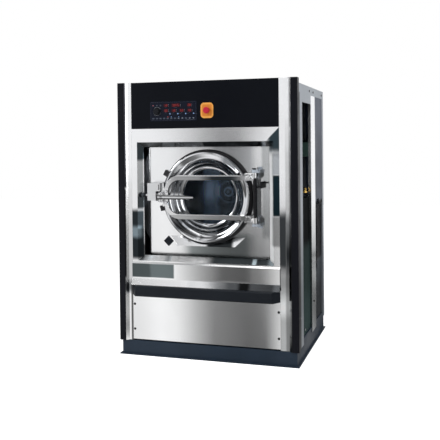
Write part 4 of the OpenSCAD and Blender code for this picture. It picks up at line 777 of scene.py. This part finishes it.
# Each display window: its middle from the keypad's middle, in millimetres, and how many
# figures it shows
WINDOW_PITCH = 44.5
WINDOWS = [(-41 + WINDOW_PITCH * i, 3, 2) for i in range(4)]
WINDOWS += [(-41, 31, 2), (15, 31, 4), (91, 31, 2)]
READINGS = ["30", "15", "60", "45", "12", "0845", "08"]
DIGIT_W, DIGIT_H, DIGIT_STEP = 0.0046, 0.0094, 0.0086
WIDER_BY = 0.006  # how far marks spread for each figure beyond two


def readouts(bm):
    """Figures of seven segments in every display window."""
    for (dx, dz, count), reading in zip(WINDOWS, READINGS):
        left = PANEL_X + dx / 1000 - DIGIT_STEP * count / 2 + (DIGIT_STEP - DIGIT_W) / 2
        low = PANEL_Z + dz / 1000 - DIGIT_H / 2
        for i, figure in enumerate(reading):
            for segment in SEGMENTS[figure]:
                ends = [(left + i * DIGIT_STEP + cx * DIGIT_W, low + cz * DIGIT_H / 2)
                        for cx, cz in SEGMENT_ENDS[segment]]
                bar(bm, *ends, SEGMENT_WIDTH, LENS_Y, SEGMENT_RISE)


# The keys lie as part.scad lays them out
KEYS = 12
KEYPAD_W, KEYPAD_H = 0.266, 0.106
KEY_MARGINS = 0.039
KEY_PITCH = (KEYPAD_W - KEY_MARGINS) / (KEYS - 1)
KEY_ROW = [PANEL_X + (i - (KEYS - 1) / 2) * KEY_PITCH for i in range(KEYS)]
KEY_ROW_Z = PANEL_Z - KEYPAD_H / 2 + 0.015
STATUS_PITCH = 2.15 * KEY_PITCH
STATUS_ROW = [PANEL_X - 0.018 + i * STATUS_PITCH for i in range(4)]
STATUS_Z = PANEL_Z - 0.014
TOP_KEYS_Z = PANEL_Z + 0.031
LAMP_LIFT = 0.0075  # from a key's middle up to its lamp


def lamps_at(places, radius=0.0026, height=0.0011):
    """A mesh builder for round lamps at places of (x, z, y of the plate)."""
    def build(bm):
        for x, z, y in places:
            dome(bm, x, z, radius, y, height)
    return build


def key_symbols(bm, first, last):
    """Plain strokes on some of the keys: bars, arrows and dots, no letters."""
    z, r = KEY_ROW_Z, 0.0022
    for i, x in enumerate(KEY_ROW[first:last]):
        if i % 3 == 0:
            bar(bm, (x - r, z), (x + r, z), 0.0008, KEY_Y)
        elif i % 3 == 1:
            raised(bm, [(x - r, z - r), (x + r, z - r), (x, z + r)], KEY_Y, PRINT_RISE)
        else:
            dot = [(x + r * math.cos(t), z + r * math.sin(t)) for t in circle(12)]
            raised(bm, dot, KEY_Y, PRINT_RISE)


def panel_marks(bm):
    """Ticks round the selector, short rules beside the windows and a thin border line."""
    near, far = KNOB_RADIUS + 0.002, KNOB_RADIUS + 0.0055
    for degrees in range(-60, 241, 30):
        c, s = math.cos(math.radians(degrees)), math.sin(math.radians(degrees))
        bar(bm, (KNOB_X + near * c, KNOB_Z + near * s), (KNOB_X + far * c, KNOB_Z + far * s),
            0.0009, FILM_Y)
    for dx, dz, count in WINDOWS:
        half = (0.010 + WIDER_BY * (count - 2)) / 2
        x, z = PANEL_X + dx / 1000, PANEL_Z + dz / 1000 - 0.0112
        bar(bm, (x - half, z), (x + half * random.uniform(0.4, 1.0), z), 0.0010, FILM_Y)
    for x in STATUS_ROW:
        bar(bm, (x + 0.009, STATUS_Z), (x + 0.017, STATUS_Z), 0.0010, FILM_Y)
    rule_z = KEY_ROW_Z - 0.0085
    bar(bm, (KEY_ROW[9], rule_z), (KEY_ROW[11] + 0.006, rule_z), 0.0012, FILM_Y)
    half_w, half_h = 0.1275, 0.0475
    border = [(PANEL_X + a * half_w, PANEL_Z + b * half_h) for a, b in SQUARE]
    for start, end in zip(border, border[1:] + border[:1]):
        bar(bm, start, end, 0.0004, FILM_Y)


def bright_marks(bm):
    """A broken ring round the selector and pairs of short ticks beside the windows."""
    reach = KNOB_RADIUS + 0.0012
    ring = [(KNOB_X + reach * math.cos(t), KNOB_Z + reach * math.sin(t)) for t in circle(32)]
    left_out = {0, 1, 2, 13, 14, 15, 16, 30, 31}
    for i in range(32):
        if i not in left_out:
            bar(bm, ring[i], ring[i + 1], 0.0014, FILM_Y)
    for dx, dz, count in WINDOWS:
        x = PANEL_X + dx / 1000 + 0.0135 + WIDER_BY * (count - 2)
        z = PANEL_Z + dz / 1000
        for low, high in ((-0.006, -0.002), (0.001, 0.006)):
            bar(bm, (x, z + low), (x, z + high), 0.0013, FILM_Y)


LAMP_RED = lit("lamp_red", (1.0, 0.06, 0.04), 0.5)
LAMP_BLUE = lit("lamp_blue", (0.30, 0.52, 1.0), 0.75)
PRINT_GREY = coated("print_grey", (0.09, 0.10, 0.13), (0.4, 0.5))
PRINT_PALE = coated("print_pale", (0.42, 0.44, 0.48), (0.4, 0.5))
trim_piece("readout_segments", readouts, lit("segment_red", (1.0, 0.06, 0.06), 0.11))
trim_piece("panel_marks", panel_marks, PRINT_GREY)
trim_piece("panel_ticks", bright_marks, PRINT_PALE)
trim_piece("key_symbols_left", lambda bm: key_symbols(bm, 0, 6), PRINT_GREY)
trim_piece("key_symbols_right", lambda bm: key_symbols(bm, 6, 12), PRINT_PALE)
trim_piece("status_lamps", lamps_at([(x, STATUS_Z, KEY_Y) for x in STATUS_ROW]), LAMP_BLUE)
trim_piece("blue_lamps", lamps_at([(KEY_ROW[i], KEY_ROW_Z + LAMP_LIFT, FILM_Y) for i in (5, 7)],
                                  0.0016), LAMP_BLUE)
trim_piece("red_lamps", lamps_at([(KEY_ROW[4], KEY_ROW_Z + LAMP_LIFT, FILM_Y),
                                  (KEY_ROW[0], TOP_KEYS_Z, KEY_Y)], 0.0018), LAMP_RED)

# Rings of the shelf's fitting from its foot up: (height, round or not, half width)
FITTING_RINGS = [(0.0, False, 0.0095), (0.007, False, 0.0095), (0.0072, True, 0.0068),
                 (0.012, True, 0.0060), (0.014, True, 0.0072), (0.018, True, 0.0060),
                 (0.020, True, 0.0072), (0.026, True, 0.0052)]


def shelf_fitting(bm):
    """Brass hose tail with a hexagon, standing on the rear end of the equipment shelf."""
    low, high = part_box("equipment_shelf")
    x, y, base = (low.x + high.x) / 2 - 0.001, high.y - 0.045, high.z
    flat = math.pi / 3
    rows = []
    for rise, is_round, half in FITTING_RINGS:
        rows.append([])
        for t in circle(24):
            reach = half if is_round else half / math.cos((t + flat / 2) % flat - flat / 2)
            rows[-1].append(bm.verts.new((x + reach * math.cos(t), y + reach * math.sin(t),
                                          base + rise)))
    bm.faces.new(rows[0])
    bm.faces.new(rows[-1])
    walls(bm, rows)


trim_piece("shelf_fitting", shelf_fitting,
           turned_metal("fitting_brass", (0.80, 0.52, 0.14), FITTING_X, FITTING_Z, 1300,
                        (0.18, 0.32)))


# Stage, light and camera

# Brightness that metal mirrors in each direction, against the share of a turn round Z. The
# first stops differ between walls and floor, because the machine's front mirrors both there.
STUDIO_STOPS = [(0.090, 0.90), (0.105, 0.10), (0.135, 0.08), (0.150, 0.80), (0.20, 0.95),
                (0.30, 0.12), (0.42, 0.35), (0.47, 0.85), (0.51, 1.0), (0.55, 1.0),
                (0.66, 0.15), (0.74, 0.10), (0.80, 0.75), (0.86, 0.95), (0.93, 0.20),
                (1.0, 0.30)]
WALL_STOPS = [(0.0, 0.30), (0.022, 0.30), (0.0275, 0.55), (0.0310, 1.0), (0.0350, 1.0),
              (0.0396, 1.0), (0.0406, 0.60), (0.0414, 0.15), (0.0450, 0.13), (0.0490, 0.26),
              (0.0519, 0.46), (0.0543, 0.64), (0.0569, 0.84), (0.0600, 1.0), (0.0680, 0.92)]
FLOOR_STOPS = [(0.0, 0.25), (0.030, 0.30), (0.0345, 0.72), (0.0378, 0.70), (0.0392, 0.05),
               (0.0415, 0.05), (0.0440, 0.12), (0.0488, 0.15), (0.0514, 0.20), (0.0540, 0.40),
               (0.0567, 0.76), (0.0600, 0.98), (0.0640, 1.0), (0.0680, 0.74)]
# Brightness against height, from straight down to straight up
HEIGHT_STOPS = [(0.0, 1.0), (0.70, 1.0), (0.74, 0.22), (0.80, 0.20), (0.84, 1.0), (0.93, 1.0),
                (0.97, 0.45), (1.0, 0.45)]
FLOOR_BANDS_FROM = (1.2, 3.1)  # (x, y) of the camera's mirror image in the machine's front
FLOOR_HALF = 9.0
FLOOR_GLOW_DROP = 0.2  # how far below white the floor's glow is to the camera
MIRRORED_FLOOR = (0.03, 0.03, 0.03)  # its paint in metal, where its glow does the rest
DIFFUSE_LEVEL = 0.42  # strength of the world on dull surfaces
LAMP_SPECULAR = 0.25


def floor_material():
    """A pale floor that keeps the object's shadow, white to the camera and banded in metal."""
    s = Shader("floor_pale")
    tone = s.ramp(s.noise((2, 2, 2), 3, 0.5), [(0.2, 0.86), (0.8, 0.9)])
    bands_x, bands_y = FLOOR_BANDS_FROM
    place = s.axes(s.mapped(place=(-bands_x, -bands_y, 0)))
    graded = s.ramp(s.around(place), FLOOR_STOPS + STUDIO_STOPS)
    rays = s.rays()
    to_camera = rays["Is Camera Ray"]
    paint = s.shader("ShaderNodeBsdfDiffuse", Color=tone)
    shaded = s.shader("ShaderNodeBsdfDiffuse", Color=s.mix(to_camera, MIRRORED_FLOOR, tone))
    glow = s.shader("ShaderNodeEmission", Color=s.mix(to_camera, graded, (1, 1, 1)),
                    Strength=s.math("MULTIPLY_ADD", to_camera, -FLOOR_GLOW_DROP, 1.0))
    total = s.add("ShaderNodeAddShader")
    s.link(shaded, total.inputs[0])
    s.link(glow, total.inputs[1])
    seen = s.math("MAXIMUM", to_camera, s.seen_in_metal(rays))
    s.show(s.blend(seen, paint, total.outputs[0]))
    return s.material


def build_floor():
    """The floor, a stage that isn't part of the object."""
    mesh = bpy.data.meshes.new("floor")
    corners = [(FLOOR_HALF * a, FLOOR_HALF * b, 0) for a, b in SQUARE]
    mesh.from_pydata(corners, [], [(0, 1, 2, 3)])
    obj = bpy.data.objects.new("floor", mesh)
    bpy.context.scene.collection.objects.link(obj)
    obj.data.materials.append(floor_material())


def build_world():
    """White to the camera, a plain level for diffuse light, and soft studio bands for metal."""
    world = bpy.data.worlds.new("studio")
    bpy.context.scene.world = world
    world.use_nodes = True
    g = Graph(world.node_tree, "ShaderNodeOutputWorld", "Generated")
    direction = g.axes(g.coordinates)
    walls_tone = g.ramp(g.around(direction), [(at, (level, level * 1.005, level * 1.02))
                                              for at, level in WALL_STOPS + STUDIO_STOPS])
    height_tone = g.ramp(g.math("MULTIPLY_ADD", direction["Z"], 0.5, 0.5), HEIGHT_STOPS)
    soft = g.shader("ShaderNodeBackground", Color=(0.97, 0.985, 1.0), Strength=DIFFUSE_LEVEL)
    studio = g.shader("ShaderNodeBackground", Strength=1.0,
                      Color=g.mix(1.0, walls_tone, height_tone, "MULTIPLY"))
    white = g.shader("ShaderNodeBackground", Color=(1, 1, 1), Strength=1.0)
    rays = g.rays()
    lighting = g.blend(g.seen_in_metal(rays), soft, studio)
    g.show(g.blend(rays["Is Camera Ray"], lighting, white))


def area_light(name, place, target, size, power):
    """A soft rectangular lamp that faces its target."""
    lamp = bpy.data.lights.new(name, "AREA")
    lamp.shape = "RECTANGLE"
    lamp.size, lamp.size_y = size
    lamp.energy = power
    lamp.specular_factor = LAMP_SPECULAR
    obj = bpy.data.objects.new(name, lamp)
    bpy.context.scene.collection.objects.link(obj)
    obj.location = place
    aim = Vector(target) - Vector(place)
    obj.rotation_mode = "QUATERNION"
    obj.rotation_quaternion = aim.to_track_quat("-Z", "Y")


build_floor()
build_world()
area_light("key", (-3.3, -2.6, 3.0), target=(0, 0, 0.8), size=(1.6, 2.0), power=90)
area_light("fill", (3.4, -2.6, 1.9), target=(0.2, 0, 0.7), size=(1.4, 2.2), power=32)
area_light("top", (0.3, -0.6, 4.2), target=(0, 0, 0), size=(3.0, 3.0), power=50)

# The camera was fitted to the cabinet's corners in the photograph; angles are in radians
CAMERA_PLACE = (1.18821, -3.99649, 1.14445)
CAMERA_YAW = 0.29929
CAMERA_PITCH = -0.01604
CAMERA_ROLL = -0.00977
CAMERA_SHIFT_Y = -0.15  # share of the picture
FOCAL_PIXELS = 721.067
FRAME_PIXELS = 440
SENSOR_MM = 36.0


def build_camera():
    """The photograph's camera."""
    forward = Vector((-math.sin(CAMERA_YAW) * math.cos(CAMERA_PITCH),
                      math.cos(CAMERA_YAW) * math.cos(CAMERA_PITCH), math.sin(CAMERA_PITCH)))
    right = Vector((math.cos(CAMERA_YAW), math.sin(CAMERA_YAW), 0))
    up = right.cross(forward)
    c, s = math.cos(CAMERA_ROLL), math.sin(CAMERA_ROLL)
    right, up = c * right + s * up, c * up - s * right
    data = bpy.data.cameras.new("camera")
    data.sensor_width = SENSOR_MM
    data.lens = FOCAL_PIXELS / FRAME_PIXELS * SENSOR_MM
    data.shift_y = CAMERA_SHIFT_Y
    camera = bpy.data.objects.new("camera", data)
    bpy.context.scene.collection.objects.link(camera)
    turn = Matrix((right, up, -forward)).transposed()
    camera.matrix_world = Matrix.Translation(Vector(CAMERA_PLACE)) @ turn.to_4x4()
    bpy.context.scene.camera = camera


build_camera()
bpy.context.scene.view_settings.view_transform = "Standard"
